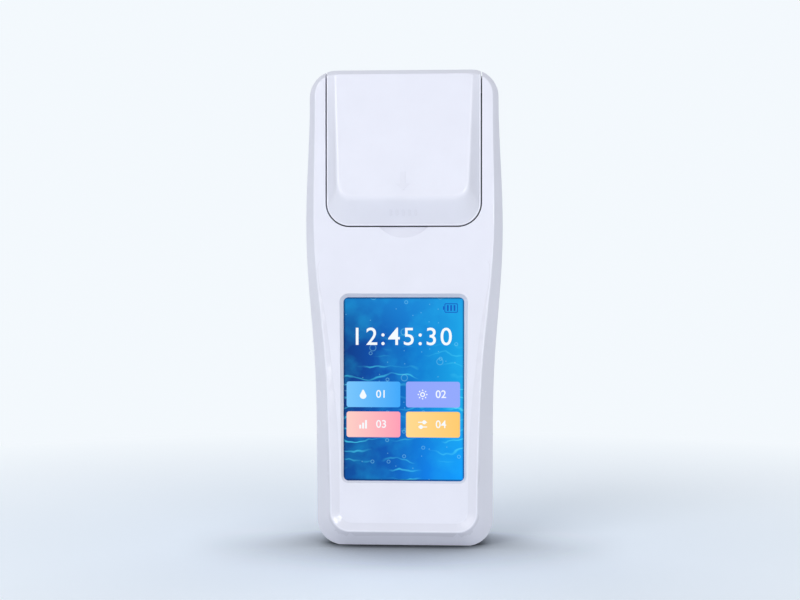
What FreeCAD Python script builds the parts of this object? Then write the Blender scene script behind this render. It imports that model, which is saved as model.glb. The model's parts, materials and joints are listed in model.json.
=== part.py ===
"""Handheld water quality analyzer: a colorimeter that stands on its bottom end.

Millimetres. +Z is up, the screen faces -Y, +X is to the right seen from the front.
The origin is the centre of the bounding box, on the plane that the foot stands on.
"""
import FreeCAD, Part
import math
import os

V = FreeCAD.Vector
os.makedirs("parts", exist_ok=True)

# Overall size
HEIGHT = 192.8
BODY_DEPTH = 46.0
HOOD_RISE = 6.0
FOOT_PAD_PROUD = 0.8
WALL = 2.4

# Side outline, as half widths at heights, measured on the widest line of the case
FOOT_HALF = 35.9
GRIP_HALF = 35.9
GRIP_Z = 47.4
WAIST_HALF = 36.65
WAIST_Z = 76.4
FLARE_HALF = 38.5
FLARE_DROP = 92.4
HEAD_HALF = 39.8
HEAD_DROP = 68.4
BROW_HALF = 39.35
BROW_DROP = 44.4
TOP_HALF = 38.1
CORNER_R = 11.0
HALVINGS = 40

# Bevel between the front ridge and the widest line
SHOULDER_DEPTH_FOOT = 9.0
SHOULDER_DEPTH_TOP = 2.2
RIDGE_INSET_FOOT = 6.4
RIDGE_INSET_TOP = 2.15
RIDGE_FOOT_Z = 6.5
RIDGE_TOP_DROP = 1.8
RIDGE_CORNER_R = 8.2
RIDGE_ROUND = 0.6
RIDGE_INSET_SHARE = 0.6
SHOULDER_INSET_SHARE = 0.5
REAR_DRAFT = 1.0
REAR_ROUND = 5.0
FOOT_TRIM = 0.2
PARTING_BACK = 11.0
SEAM_GROOVE = 0.35
SEAM_GROOVE_DEPTH = 0.5

# Sunk face panel around the screen
PANEL_DEPTH = 1.0
PANEL_FADE_DROP = 10.7
PANEL_CREST = 0.7
PANEL_BAND = 3.2
PANEL_FOOT_Z = 10.1
PANEL_CORNER_R = 4.8

# Screen: a 3.5 inch panel with a 3:2 picture
SCREEN_Z = 64.2
SCREEN_HALF = 24.4
SCREEN_HALF_TALL = 37.1
SCREEN_CORNER_R = 2.0
ROUND_END_FLAT = 0.05
SCREEN_RIM = 1.7
SCREEN_LIP = 1.7
GLASS_MARGIN = 2.8
GLASS_T = 1.1
GASKET_T = 0.4
GASKET_W = 2.0
LCD_T = 2.2
BACKLIGHT_T = 1.8
FRAME_T = 1.6
FRAME_OVER = 1.6
FRAME_SCREW_OUT = 2.1
FRAME_SCREW_RISE = 34.0
FRAME_EAR_R = 1.8
FRAME_OPEN_HALF = 21.0
FRAME_OPEN_HALF_TALL = 32.0

# Lid with its hood
LID_HALF = 31.0
LID_LENGTH = 62.7
LID_CORNER_R = 9.3
LID_GAP = 0.5
LID_SKIRT = 3.6
LID_WALL = 2.0
LID_TOP_T = 2.6
HOOD_FLANGE = 0.6
HOOD_FOOT_HALF = 26.0
HOOD_TOP_HALF = 27.7
HOOD_FOOT_RISE = 11.0
HOOD_RISE_TOP = 1.4
HOOD_CORNER_R = 6.0
HOOD_ROUND = 1.0
HOOD_ROUND_STEPS = 4
SEAM_ROUND = 0.3
MARK_PROUD = 0.3
ARROW_LENGTH = 7.6
ARROW_HALF = 2.9
ARROW_STEM_HALF = 1.1
ARROW_RISE = 2.8
NOTCH_HALF = 10.0
NOTCH_DEPTH_Z = 4.4
NOTCH_STEP = 0.35
NOTCH_TILT = 15.0
GRIP_BARS = 5
GRIP_PITCH = 2.5
GRIP_BAR_HALF = 0.6
GRIP_BAR_HALF_Z = 1.3
GRIP_BAR_RISE = 5.2

# Lid hinge
HINGE_BACK = 22.4
HINGE_DROP = 5.0
BARREL_R = 5.0
BARREL_GAP = 0.5
HINGE_PIN_R = 1.5
HINGE_PIN_CLEAR = 0.05
KNUCKLE_X = 17.0
KNUCKLE_HALF = 3.0
KNUCKLE_GAP = 0.4
LID_SPRING_R = 2.0
LID_SPRING_WIRE_R = 0.28
LID_SPRING_HALF = 2.4
LID_SPRING_LEG = 11.0
LID_SPRING_FOOT = 4.6
LID_SPRING_PITCH = 0.73
TROUGH_WALL = 1.9
SLOPE_DEG = 33.0
SLOPE_BELOW_AXIS = 3.0

# Bay under the lid
BAY_DEPTH = 6.0
BAY_WALL = 1.8
DECK_T = 1.8
DECK_FIT = 0.1
DECK_TOP_DROP = 9.0

# Sample well, for a round vial of 16 mm
VIAL_R = 8.0
WELL_CLEAR = 0.2
WELL_DROP = 38.0
WELL_FLOOR_T = 2.0
HOLDER_HALF = 15.0
BEAM_Y_FROM_REAR = 16.0
BEAM_R = 2.5
FILTER_R = 4.0
FILTER_T = 1.5
OPTIC_CLEAR = 0.1
LED_R = 2.5
BOARD_T = 1.6
OPTIC_BOARD_HALF = 12.0
OPTIC_PAD_H = 1.2
OPTIC_PAD_R = 2.0
OPTIC_SCREW_IN = 2.5
OPTIC_SCREW_BITE = 3.0
FILTER_SUNK = 1.0
LAMP_FLANGE = 0.4
DETECTOR_FLANGE = 1.0
FLANGE_T = 0.6
HOLDER_CORNER_R = 2.0
EAR_OUT = 4.0
EAR_HALF = 3.0
EAR_T = 4.0
EAR_IN = 3.5

# Lid lining and light seal
LINER_T = 1.5
LINER_EDGE_GAP = 0.2
LINER_SCREW_X = 22.0
LINER_SCREW_FOOT_UP = 16.4
LINER_SCREW_TOP_DOWN = 9.6
LINER_BOSS_R = 2.2
CUP_R = 11.0
CUP_WALL = 1.2
CUP_DEPTH = 4.6
SEAL_R = 12.6
SEAL_W = 2.6
SEAL_GAP = 0.2

# Push latch
LATCH_RISE = 4.8
PLUNGER_HALF_X = 2.4
PLUNGER_HALF_Z = 2.2
PLUNGER_PROUD = 1.0
PLUNGER_TRAVEL = 2.0
PLUNGER_LENGTH = 8.2
PLUNGER_CLEAR = 0.15
PLUNGER_CORNER_R = 0.5
LATCH_GAP = 0.3
LATCH_FLANGE_X = 9.0
LATCH_FLANGE_T = 2.4
LATCH_WALL = 1.4
SPRING_LENGTH = 5.4
SPRING_R = 1.1
SPRING_WIRE_R = 0.22
SPRING_TURNS = 6
SPRING_PLAY = 0.05
STRIKER_HALF_X = 3.4
STRIKER_HALF_Z = 2.2
NOSE_R = 1.0
NOSE_LEN = 0.8
NOSE_CLEAR = 0.4

# Main board
BOARD_BACK = 11.8
BOARD_HALF = 29.2
BOARD_FOOT_Z = 16.0
BOARD_TOP_Z = 110.0
POST_R = 2.3
POST_X = 25.0
SHIELD_Z = 97.0
SHIELD_HALF = 10.0
SHIELD_ROUND = 0.6
SHIELD_H = 2.4
CHIP_PLACES = ((-16.0, 62.0), (-16.0, 78.0), (14.0, 52.0))
CHIP_HALF = 3.5
CHIP_H = 1.0
BUZZER_X = 17.0
BUZZER_Z = 78.0
BUZZER_R = 4.5
BUZZER_HOLE_R = 0.8
BUZZER_H = 4.0
RIBBON_HALF = 7.0
RIBBON_T = 0.3
RIBBON_DROP = 3.0
RIBBON_TAIL = 5.0
BOARD_CORNER_R = 1.5
POST_IN = 1.0

# Charging socket and power button, in the rear shell's sides
SOCKET_Z = 35.4
SOCKET_HALF_Z = 4.47
SOCKET_H = 3.2
SOCKET_LEN = 8.0
SOCKET_SHELL_T = 0.35
SOCKET_BACK_T = 1.5
TONGUE_HALF_Z = 3.3
TONGUE_HALF_Y = 0.35
TONGUE_SUNK = 1.0
PORT_CLEAR = 0.3
PORT_SUNK = 1.0
BUTTON_Z = 70.0
BUTTON_HALF_Z = 5.5
BUTTON_HALF_Y = 2.2
BUTTON_PROUD = 0.7
BUTTON_CLEAR = 0.2
BUTTON_FLANGE = 0.8
BUTTON_FLANGE_T = 0.8
BUTTON_STEM_R = 1.2
BUTTON_TRAVEL = 0.5
BUTTON_GAP = 0.6
SWITCH_LEN = 4.0
SWITCH_HALF_Z = 3.0
SWITCH_H = 3.4
ACTUATOR_LEN = 1.0

# Battery
CELL_R = 9.2
CELL_LENGTH = 65.0
CELL_GAP = 0.4
CELL_SEAT = 0.3
CELL_CAP_H = 1.0
CONTACT_HALF_X = 4.0
CONTACT_HALF_Y = 5.0
CELL_FOOT_Z = 24.0
TRAY_T = 1.2
DOOR_T = 1.4
DOOR_CORNER_R = 4.0
DOOR_GAP = 0.25
DOOR_LEDGE = 2.2
DOOR_TAB = 7.7

# Fasteners and feet
SCREW_R = 1.2
SCREW_CLEAR = 0.2
THREAD_CLEAR = 0.05
SCREW_HEAD_R = 2.3
SCREW_HEAD_H = 1.4
INSERT_R = 1.9
INSERT_LEN = 5.0
CASE_BOSS_R = 4.1
CASE_BORE_R = 2.7
CASE_SEAT_T = 3.0
CASE_SCREW_LENGTH = 7.0
CASE_SCREW_LOW_X = 26.8
CASE_SCREW_LOW_Z = 10.4
CASE_SCREW_HIGH_X = 29.5
PAD_R = 3.5
PAD_SUNK = 0.8
PAD_LOW_X = 14.0
PAD_LOW_Z = 11.0
PAD_HIGH_X = 27.0
PAD_HIGH_DROP = 27.0
SMALL_SCREW_R = 0.8
SMALL_HEAD_R = 1.5
SMALL_HEAD_H = 0.8
TIP_ROOM = 0.5
HEAD_SUNK = 0.1
SEAL_CORD_IN = 0.8
SEAL_CORD_W = 0.9
SEAL_CORD_T = 0.8

# Places worked out from the sizes above
TOTAL_DEPTH = HOOD_RISE + BODY_DEPTH + FOOT_PAD_PROUD
FRONT_Y = HOOD_RISE - TOTAL_DEPTH / 2
REAR_Y = FRONT_Y + BODY_DEPTH
PARTING_Y = FRONT_Y + PARTING_BACK
BAY_Y = FRONT_Y + BAY_DEPTH
DECK_REAR_Y = BAY_Y + DECK_T
HINGE_Y = FRONT_Y + HINGE_BACK
HINGE_Z = HEIGHT - HINGE_DROP
INNER_REAR_Y = REAR_Y - WALL
RIDGE_TOP_Z = HEIGHT - RIDGE_TOP_DROP
FLARE_Z = HEIGHT - FLARE_DROP
HEAD_Z = HEIGHT - HEAD_DROP
BROW_Z = HEIGHT - BROW_DROP
LID_FOOT_Z = HEIGHT - LID_LENGTH
HOOD_FOOT_Z = LID_FOOT_Z + HOOD_FOOT_RISE
ARROW_TIP_Z = HOOD_FOOT_Z + ARROW_RISE
GRIP_BAR_Z = LID_FOOT_Z + GRIP_BAR_RISE
PANEL_FADE_Z = LID_FOOT_Z - PANEL_FADE_DROP
DECK_TOP_Z = HEIGHT - DECK_TOP_DROP
WELL_Z = HEIGHT - WELL_DROP
LATCH_Z = LID_FOOT_Z + LATCH_RISE
PAD_HIGH_Z = HEIGHT - PAD_HIGH_DROP
FRAME_TOP_Z = SCREEN_Z + SCREEN_HALF_TALL + GLASS_MARGIN + FRAME_OVER
CASE_SCREW_HIGH_Z = (FRAME_TOP_Z + LID_FOOT_Z - LID_GAP - BAY_WALL) / 2
REACH = 2 * HEIGHT


def box(x0, x1, y0, y1, z0, z1):
    """Box between two corners."""
    return Part.makeBox(x1 - x0, y1 - y0, z1 - z0, V(x0, y0, z0))


def rod_x(x0, x1, y, z, r):
    """Round bar along X."""
    return Part.makeCylinder(r, x1 - x0, V(x0, y, z), V(1, 0, 0))


def rod_y(x, y0, y1, z, r):
    """Round bar along Y."""
    return Part.makeCylinder(r, y1 - y0, V(x, y0, z), V(0, 1, 0))


def rod_z(x, y, z0, z1, r):
    """Round bar along Z."""
    return Part.makeCylinder(r, z1 - z0, V(x, y, z0), V(0, 0, 1))


def fuse(shapes):
    """Union of several shapes as one clean solid."""
    whole = shapes[0].multiFuse(shapes[1:]) if len(shapes) > 1 else shapes[0]
    return whole.removeSplitter()


def rounded_wire(half, z0, z1, r0, r1, y_of):
    """Rectangle of half width half from z0 to z1, with foot radius r0 and top radius r1."""
    return outline_wire(lambda z: half, (), z0, z1, r0, r1, y_of)


def plate(half, z0, z1, r0, r1, y0, y1):
    """Flat plate with rounded corners, from y0 to y1."""
    face = Part.Face(rounded_wire(half, z0, z1, r0, r1, lambda z: y0))
    return face.extrude(V(0, y1 - y0, 0))


def plate_x(half_y, half_z, r, x0, x1, y_mid, z_mid):
    """Plate with rounded corners that lies across X."""
    flat = plate(half_y, -half_z, half_z, r, r, 0, x1 - x0)
    flat.rotate(V(0, 0, 0), V(0, 0, 1), -90)
    flat.translate(V(x0, y_mid, z_mid))
    return flat


def outline_wire(half_of, heights, z0, z1, r0, r1, y_of):
    """Closed outline: foot line, two foot arcs, two side curves, two top arcs and a top line.

    half_of gives the half width at a height, and y_of gives the plane it lies in.
    """
    def point(x, z):
        return V(x, y_of(z), z)

    def corner(x_mid, z_mid, r, start_deg):
        turn = [math.radians(start_deg + step) for step in (0, 45, 90)]
        ends = [point(x_mid + r * math.cos(a), z_mid + r * math.sin(a)) for a in turn]
        return Part.Arc(*ends).toShape()

    foot = half_of(z0 + r0)
    top = half_of(z1 - r1)
    rise = V(0, y_of(z0 + 1) - y_of(z0), 1)
    rise.normalize()
    up = [point(foot, z0 + r0)] + [point(half_of(z), z) for z in heights] + [point(top, z1 - r1)]
    if heights:
        right = Part.BSplineCurve()
        right.interpolate(Points=up, InitialTangent=rise, FinalTangent=rise)
        left = Part.BSplineCurve()
        down = [V(-p.x, p.y, p.z) for p in reversed(up)]
        left.interpolate(Points=down, InitialTangent=rise * -1, FinalTangent=rise * -1)
        sides = [right.toShape(), left.toShape()]
    else:
        sides = [Part.makeLine(up[0], up[1])]
        sides.append(Part.makeLine(point(-top, z1 - r1), point(-foot, z0 + r0)))
    edges = [Part.makeLine(point(r0 - foot, z0), point(foot - r0, z0))]
    edges.append(corner(foot - r0, z0 + r0, r0, -90))
    edges.append(sides[0])
    edges.append(corner(top - r1, z1 - r1, r1, 0))
    edges.append(Part.makeLine(point(top - r1, z1), point(r1 - top, z1)))
    edges.append(corner(r1 - top, z1 - r1, r1, 90))
    edges.append(sides[1])
    edges.append(corner(r0 - foot, z0 + r0, r0, 180))
    return Part.Wire(edges)


SIDE_CURVE = (
    (CORNER_R, FOOT_HALF),
    (GRIP_Z, GRIP_HALF),
    (WAIST_Z, WAIST_HALF),
    (FLARE_Z, FLARE_HALF),
    (HEAD_Z, HEAD_HALF),
    (BROW_Z, BROW_HALF),
    (HEIGHT - CORNER_R, TOP_HALF),
)
SIDE_HEIGHTS = tuple(z for z, half in SIDE_CURVE[1:-1])
SIDE_LINE = Part.BSplineCurve()
SIDE_LINE.interpolate(
    Points=[V(half, 0, z) for z, half in SIDE_CURVE], InitialTangent=V(0, 0, 1), FinalTangent=V(0, 0, 1))


def shoulder_half(z):
    """Half width of the case at its widest line, read off the side curve by halving its span."""
    if z <= SIDE_CURVE[0][0]:
        return SIDE_CURVE[0][1]
    if z >= SIDE_CURVE[-1][0]:
        return SIDE_CURVE[-1][1]
    low, high = SIDE_LINE.FirstParameter, SIDE_LINE.LastParameter
    for step in range(HALVINGS):
        middle = (low + high) / 2
        if SIDE_LINE.value(middle).z < z:
            low = middle
        else:
            high = middle
    return SIDE_LINE.value(low).x


def along_height(at_foot, at_top, z):
    """Value that changes evenly from the foot to the top of the case."""
    return at_foot + (at_top - at_foot) * z / HEIGHT


def ridge_half(z):
    """Half width of the front ridge."""
    return shoulder_half(z) - along_height(RIDGE_INSET_FOOT, RIDGE_INSET_TOP, z)


def shoulder_y(z):
    """Plane of the widest line, which leans back towards the foot."""
    return FRONT_Y + along_height(SHOULDER_DEPTH_FOOT, SHOULDER_DEPTH_TOP, z)


def above_slope(below):
    """Everything above the rear slope of the head, lowered square to it by below."""
    block = box(-REACH, REACH, -REACH, REACH, 0, REACH)
    block.translate(V(0, 0, SLOPE_BELOW_AXIS - below))
    block.rotate(V(0, 0, 0), V(1, 0, 0), -SLOPE_DEG)
    block.translate(V(0, HINGE_Y, HINGE_Z))
    return block


def edges_on_y(shape, y):
    """Edges that lie in the plane at y."""
    return [e for e in shape.Edges if all(abs(v.Point.y - y) < 1e-3 for v in e.Vertexes)]


def case_solid(inset):
    """Solid case, with every face moved in by inset and the foot trimmed flat."""
    ridge_in = RIDGE_INSET_SHARE * inset
    rear_in = inset + REAR_DRAFT
    foot_z = inset - FOOT_TRIM
    ridge = outline_wire(
        lambda z: ridge_half(z) - ridge_in, SIDE_HEIGHTS,
        RIDGE_FOOT_Z + ridge_in, RIDGE_TOP_Z - ridge_in,
        RIDGE_CORNER_R - ridge_in, RIDGE_CORNER_R - ridge_in,
        lambda z: FRONT_Y + inset)
    shoulder = outline_wire(
        lambda z: shoulder_half(z) - inset, SIDE_HEIGHTS, foot_z, HEIGHT - inset,
        CORNER_R - inset, CORNER_R - inset,
        lambda z: shoulder_y(z) + SHOULDER_INSET_SHARE * inset)
    rear = outline_wire(
        lambda z: shoulder_half(z) - rear_in, SIDE_HEIGHTS, foot_z, HEIGHT - rear_in,
        CORNER_R - inset, CORNER_R - inset,
        lambda z: REAR_Y - inset)
    bevel = Part.makeLoft([ridge, shoulder], True, True)
    sides = Part.makeLoft([shoulder, rear], True, True)
    solid = fuse([bevel, sides])
    solid = solid.makeFillet(REAR_ROUND - inset, edges_on_y(solid, REAR_Y - inset))
    return solid.cut(box(-REACH, REACH, -REACH, REACH, -REACH, inset))


def panel_half(z):
    """Half width of the sunk face panel, whose band widens from the waist down."""
    grow = (PANEL_FADE_Z - z) / (PANEL_FADE_Z - GRIP_Z)
    return ridge_half(z) - PANEL_CREST - PANEL_BAND * max(0.0, min(1.0, grow))


def panel_y(z):
    """Plane of the sunk face panel, which runs out at the waist."""
    return FRONT_Y + PANEL_DEPTH * (PANEL_FADE_Z - z) / (PANEL_FADE_Z - PANEL_FOOT_Z)


def face_panel_cut():
    """Shallow hollow of the face panel."""
    top = PANEL_FADE_Z - 2 * PANEL_CREST
    heights = tuple(z for z in SIDE_HEIGHTS if z < top - PANEL_CORNER_R)
    crest = outline_wire(
        lambda z: ridge_half(z) - PANEL_CREST, heights,
        RIDGE_FOOT_Z + PANEL_CREST, top,
        RIDGE_CORNER_R - PANEL_CREST, PANEL_CORNER_R,
        lambda z: FRONT_Y)
    floor = outline_wire(
        panel_half, heights, PANEL_FOOT_Z, top, PANEL_CORNER_R, PANEL_CORNER_R, panel_y)
    return Part.makeLoft([crest, floor], True, True)


def window_cut():
    """Bevelled opening in front of the screen, with a pocket for the glass behind it."""
    lip_y = FRONT_Y + SCREEN_LIP
    tall = SCREEN_HALF_TALL
    outer = rounded_wire(
        SCREEN_HALF + SCREEN_RIM, SCREEN_Z - tall - SCREEN_RIM, SCREEN_Z + tall + SCREEN_RIM,
        SCREEN_CORNER_R + SCREEN_RIM, SCREEN_CORNER_R + SCREEN_RIM, lambda z: FRONT_Y)
    inner = rounded_wire(
        SCREEN_HALF, SCREEN_Z - tall, SCREEN_Z + tall,
        SCREEN_CORNER_R, SCREEN_CORNER_R, lambda z: lip_y)
    bevel = Part.makeLoft([outer, inner], True, True)
    pocket = screen_layer(OPTIC_CLEAR, lip_y, FRONT_Y + WALL + 1)
    return fuse([bevel, pocket])


def screen_layer(grow, y0, y1):
    """Plate of the size of the cover glass, grown by grow."""
    half = SCREEN_HALF + GLASS_MARGIN + grow
    tall = SCREEN_HALF_TALL + GLASS_MARGIN + grow
    return plate(half, SCREEN_Z - tall, SCREEN_Z + tall, SCREEN_CORNER_R, SCREEN_CORNER_R, y0, y1)


def bay_solid(grow):
    """Room for the lid: the front bay, the open top and the trough of the hinge barrel."""
    half = LID_HALF + LID_GAP + grow
    foot = LID_FOOT_Z - LID_GAP - grow
    r = LID_CORNER_R + LID_GAP + grow
    front = plate(half, foot, HEIGHT + WALL, r, 1, FRONT_Y - WALL, BAY_Y)
    top = box(-half, half, BAY_Y - 1, HINGE_Y, DECK_TOP_Z - grow, HEIGHT + WALL)
    barrel = rod_x(-half, half, HINGE_Y, HINGE_Z, BARREL_R + BARREL_GAP + grow)
    return front.fuse(top).fuse(barrel)


def notch_cut():
    """Finger notch: a shallow scoop under the lid's lower edge, deepest at the seam."""
    r = (NOTCH_HALF ** 2 + NOTCH_DEPTH_Z ** 2) / (2 * NOTCH_DEPTH_Z)
    scoop = rod_y(0, -4 * r, 0, r, r)
    scoop.rotate(V(0, 0, 0), V(1, 0, 0), -NOTCH_TILT)
    scoop.translate(V(0, FRONT_Y + NOTCH_STEP, LID_FOOT_Z - LID_GAP - NOTCH_DEPTH_Z))
    return scoop


def case_screw_places():
    """The four case screws, as x and z."""
    low = [(side * CASE_SCREW_LOW_X, CASE_SCREW_LOW_Z) for side in (-1, 1)]
    high = [(side * CASE_SCREW_HIGH_X, CASE_SCREW_HIGH_Z) for side in (-1, 1)]
    return low + high


def frame_screw_places():
    """Screws that hold the display frame to the front shell."""
    x = SCREEN_HALF + GLASS_MARGIN + FRAME_SCREW_OUT
    return [(sx * x, SCREEN_Z + sz * FRAME_SCREW_RISE) for sx in (-1, 1) for sz in (-1, 1)]


def post_places():
    """Posts that carry the main board on the display frame."""
    rise = SCREEN_HALF_TALL - POST_IN
    return [(sx * POST_X, SCREEN_Z + sz * rise) for sx in (-1, 1) for sz in (-1, 1)]


SHARP_OUTER = case_solid(0)
OUTER = SHARP_OUTER.makeFillet(RIDGE_ROUND, edges_on_y(SHARP_OUTER, FRONT_Y))
INNER = case_solid(WALL)
FRONT_HALF_SPACE = box(-REACH, REACH, -REACH, PARTING_Y, -REACH, REACH)
REAR_HALF_SPACE = box(-REACH, REACH, PARTING_Y, REACH, -REACH, REACH)
BAY = bay_solid(0)
BAY_WALLS = bay_solid(BAY_WALL)

GLASS_Y = FRONT_Y + SCREEN_LIP + GASKET_T
LCD_Y = GLASS_Y + GLASS_T
BACKLIGHT_Y = LCD_Y + LCD_T
FRAME_Y = BACKLIGHT_Y + BACKLIGHT_T
BOARD_Y = FRONT_Y + BOARD_BACK
BOARD_REAR_Y = BOARD_Y + BOARD_T
FRAME_HALF = SCREEN_HALF + GLASS_MARGIN
FRAME_HALF_TALL = SCREEN_HALF_TALL + GLASS_MARGIN + FRAME_OVER

WELL_R = VIAL_R + WELL_CLEAR
WELL_FLOOR_Y = INNER_REAR_Y - WELL_FLOOR_T
BEAM_Y = REAR_Y - BEAM_Y_FROM_REAR
LINER_Y = FRONT_Y + LID_WALL
LINER_REAR_Y = LINER_Y + LINER_T

PLUNGER_TIP_Y = BAY_Y - PLUNGER_PROUD
PLUNGER_END_Y = PLUNGER_TIP_Y + PLUNGER_LENGTH
SPRING_END_Y = PLUNGER_END_Y + SPRING_LENGTH
STRIKER_Y = PLUNGER_TIP_Y - LATCH_GAP

CELL_X = CELL_R + CELL_GAP / 2
TRAY_IN_HALF = CELL_X + CELL_R + CELL_SEAT
TRAY_IN_Z0 = CELL_FOOT_Z - CELL_SEAT
TRAY_IN_Z1 = CELL_FOOT_Z + CELL_LENGTH + CELL_SEAT
CELL_Y = REAR_Y - DOOR_T - 2 * CELL_SEAT - CELL_R
TRAY_Y = CELL_Y - CELL_R - CELL_SEAT
DOOR_HALF = TRAY_IN_HALF + DOOR_LEDGE
DOOR_Z0 = TRAY_IN_Z0 - DOOR_TAB
DOOR_Z1 = TRAY_IN_Z1 + DOOR_TAB
DOOR_SCREW_IN = (DOOR_TAB - TRAY_T) / 2
DOOR_SCREW_Z = (DOOR_Z0 + DOOR_SCREW_IN, DOOR_Z1 - DOOR_SCREW_IN)
DOOR_BOSS_R = DOOR_SCREW_IN - DOOR_GAP / 2

BUTTON_Y = BOARD_REAR_Y + SWITCH_H / 2
BUTTON_WALL_X = shoulder_half(BUTTON_Z) - WALL - REAR_DRAFT / 2
SOCKET_Y = BOARD_REAR_Y + SOCKET_H / 2
SOCKET_MOUTH_X = shoulder_half(SOCKET_Z) - PORT_SUNK - PORT_CLEAR
CASE_SEAT_Y = PARTING_Y + CASE_SEAT_T


def seam_edges(shape, half, foot, corner_r):
    """Front edges that run round the lid's seam: both sides, both corners and the foot line."""
    edges = []
    for edge in edges_on_y(shape, FRONT_Y):
        middle = edge.valueAt((edge.FirstParameter + edge.LastParameter) / 2)
        on_side = abs(abs(middle.x) - half) < 1e-2
        on_corner = abs(middle.x) < half and foot - 1e-2 < middle.z < foot + corner_r
        if middle.z > foot - 1e-2 and (on_side or on_corner):
            edges.append(edge)
    return edges


def make_front_shell():
    """Front half of the case, with the window, the lid's bay and the bosses."""
    walls = OUTER.common(BAY_WALLS).cut(box(-REACH, REACH, BAY_Y - DECK_FIT, REACH, -REACH, REACH))
    bosses = [rod_y(x, FRONT_Y + WALL / 2, PARTING_Y, z, CASE_BOSS_R) for x, z in case_screw_places()]
    bosses += [rod_y(x, FRONT_Y + WALL / 2, FRAME_Y, z, FRAME_EAR_R) for x, z in frame_screw_places()]
    inside = fuse(bosses).common(OUTER)
    shell = OUTER.cut(INNER).fuse(walls).fuse(inside).common(FRONT_HALF_SPACE)
    shell = shell.cut(BAY)
    seam = seam_edges(shell, LID_HALF + LID_GAP, LID_FOOT_Z - LID_GAP, LID_CORNER_R + LID_GAP)
    shell = shell.makeFillet(SEAM_ROUND, seam)
    shell = shell.cut(face_panel_cut()).cut(window_cut()).cut(notch_cut())
    for x, z in case_screw_places():
        shell = shell.cut(rod_y(x, PARTING_Y - INSERT_LEN - 1, PARTING_Y + 1, z, INSERT_R))
    for x, z in frame_screw_places():
        shell = shell.cut(rod_y(x, FRONT_Y + WALL, FRAME_Y + 1, z, SMALL_SCREW_R + THREAD_CLEAR))
    return shell.cut(CASE_SEAL)


def seal_ring():
    """Cord of the case seal, in the parting face of the front shell, open at the lid."""
    ring = case_solid(SEAL_CORD_IN).cut(case_solid(SEAL_CORD_IN + SEAL_CORD_W))
    slab = box(-REACH, REACH, PARTING_Y - SEAL_CORD_T, PARTING_Y, -REACH, REACH)
    gap = LID_HALF + LID_GAP + BAY_WALL + SEAL_CORD_W
    return ring.common(slab).cut(box(-gap, gap, -REACH, REACH, DECK_TOP_Z - WALL, REACH))


CASE_SEAL = seal_ring()


def seam_groove():
    """Narrow reveal groove round the parting line."""
    ring = OUTER.cut(case_solid(SEAM_GROOVE_DEPTH))
    slab = box(-REACH, REACH, PARTING_Y, PARTING_Y + SEAM_GROOVE, -REACH, REACH)
    return ring.common(slab)


def make_rear_shell():
    """Rear half of the case: hinge trough and knuckles, ports, screw wells and battery opening."""
    walls = BAY_WALLS.cut(box(-REACH, REACH, -REACH, PARTING_Y - 1, -REACH, REACH))
    side_floor = box(-REACH, REACH, -REACH, HINGE_Y - TROUGH_WALL, -REACH, DECK_TOP_Z + DECK_FIT)
    trough = rod_x(-REACH, REACH, HINGE_Y, HINGE_Z, BARREL_R + BARREL_GAP + TROUGH_WALL)
    walls = walls.cut(side_floor.cut(trough)).common(OUTER)
    screw_posts = [rod_y(x, PARTING_Y, REAR_Y - WALL / 2, z, CASE_BOSS_R) for x, z in case_screw_places()]
    screw_posts += [rod_y(0, CELL_Y, REAR_Y - WALL / 2, z, DOOR_BOSS_R) for z in DOOR_SCREW_Z]
    shell = OUTER.cut(INNER).cut(above_slope(0))
    skin = OUTER.common(INNER.common(above_slope(WALL))).cut(above_slope(0))
    shell = shell.fuse(skin).fuse(walls.cut(above_slope(0))).fuse(fuse(screw_posts).common(OUTER))
    shell = shell.common(REAR_HALF_SPACE).cut(BAY)
    shell = shell.fuse(hinge_knuckles())
    pin_half = LID_HALF + LID_GAP + BAY_WALL
    shell = shell.cut(rod_x(-pin_half, pin_half, HINGE_Y, HINGE_Z, HINGE_PIN_R))
    for x, z in case_screw_places():
        shell = shell.cut(rod_y(x, CASE_SEAT_Y, REAR_Y + 1, z, CASE_BORE_R))
        shell = shell.cut(rod_y(x, PARTING_Y - 1, CASE_SEAT_Y + 1, z, SCREW_R + SCREW_CLEAR))
    shell = shell.cut(plate(
        DOOR_HALF, DOOR_Z0, DOOR_Z1, DOOR_CORNER_R, DOOR_CORNER_R, REAR_Y - DOOR_T, REAR_Y + 1))
    shell = shell.cut(box(-TRAY_IN_HALF, TRAY_IN_HALF, INNER_REAR_Y - 1, REAR_Y, TRAY_IN_Z0, TRAY_IN_Z1))
    for z in DOOR_SCREW_Z:
        shell = shell.cut(rod_y(0, CELL_Y + WALL, REAR_Y, z, SMALL_SCREW_R + THREAD_CLEAR))
    for x, z in pad_places():
        shell = shell.cut(rod_y(x, REAR_Y - PAD_SUNK, REAR_Y + 1, z, PAD_R))
    shell = shell.cut(port_cut()).cut(button_cut()).cut(seam_groove())
    return shell


def hinge_knuckles():
    """Two eyes of the rear shell that carry the hinge pin between the lid's barrels."""
    eyes = []
    for side in (-1, 1):
        x0 = side * KNUCKLE_X - KNUCKLE_HALF
        x1 = side * KNUCKLE_X + KNUCKLE_HALF
        eye = rod_x(x0, x1, HINGE_Y, HINGE_Z, BARREL_R)
        reach = BARREL_R + BARREL_GAP + TROUGH_WALL / 2
        web = box(x0, x1, HINGE_Y - BARREL_R / 2, HINGE_Y + BARREL_R, HINGE_Z - reach, HINGE_Z)
        eyes.append(eye.fuse(web))
    return eyes[0].fuse(eyes[1]).common(OUTER)


def pad_places():
    """The four rubber pads on the back."""
    low = [(side * PAD_LOW_X, PAD_LOW_Z) for side in (-1, 1)]
    high = [(side * PAD_HIGH_X, PAD_HIGH_Z) for side in (-1, 1)]
    return low + high


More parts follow.
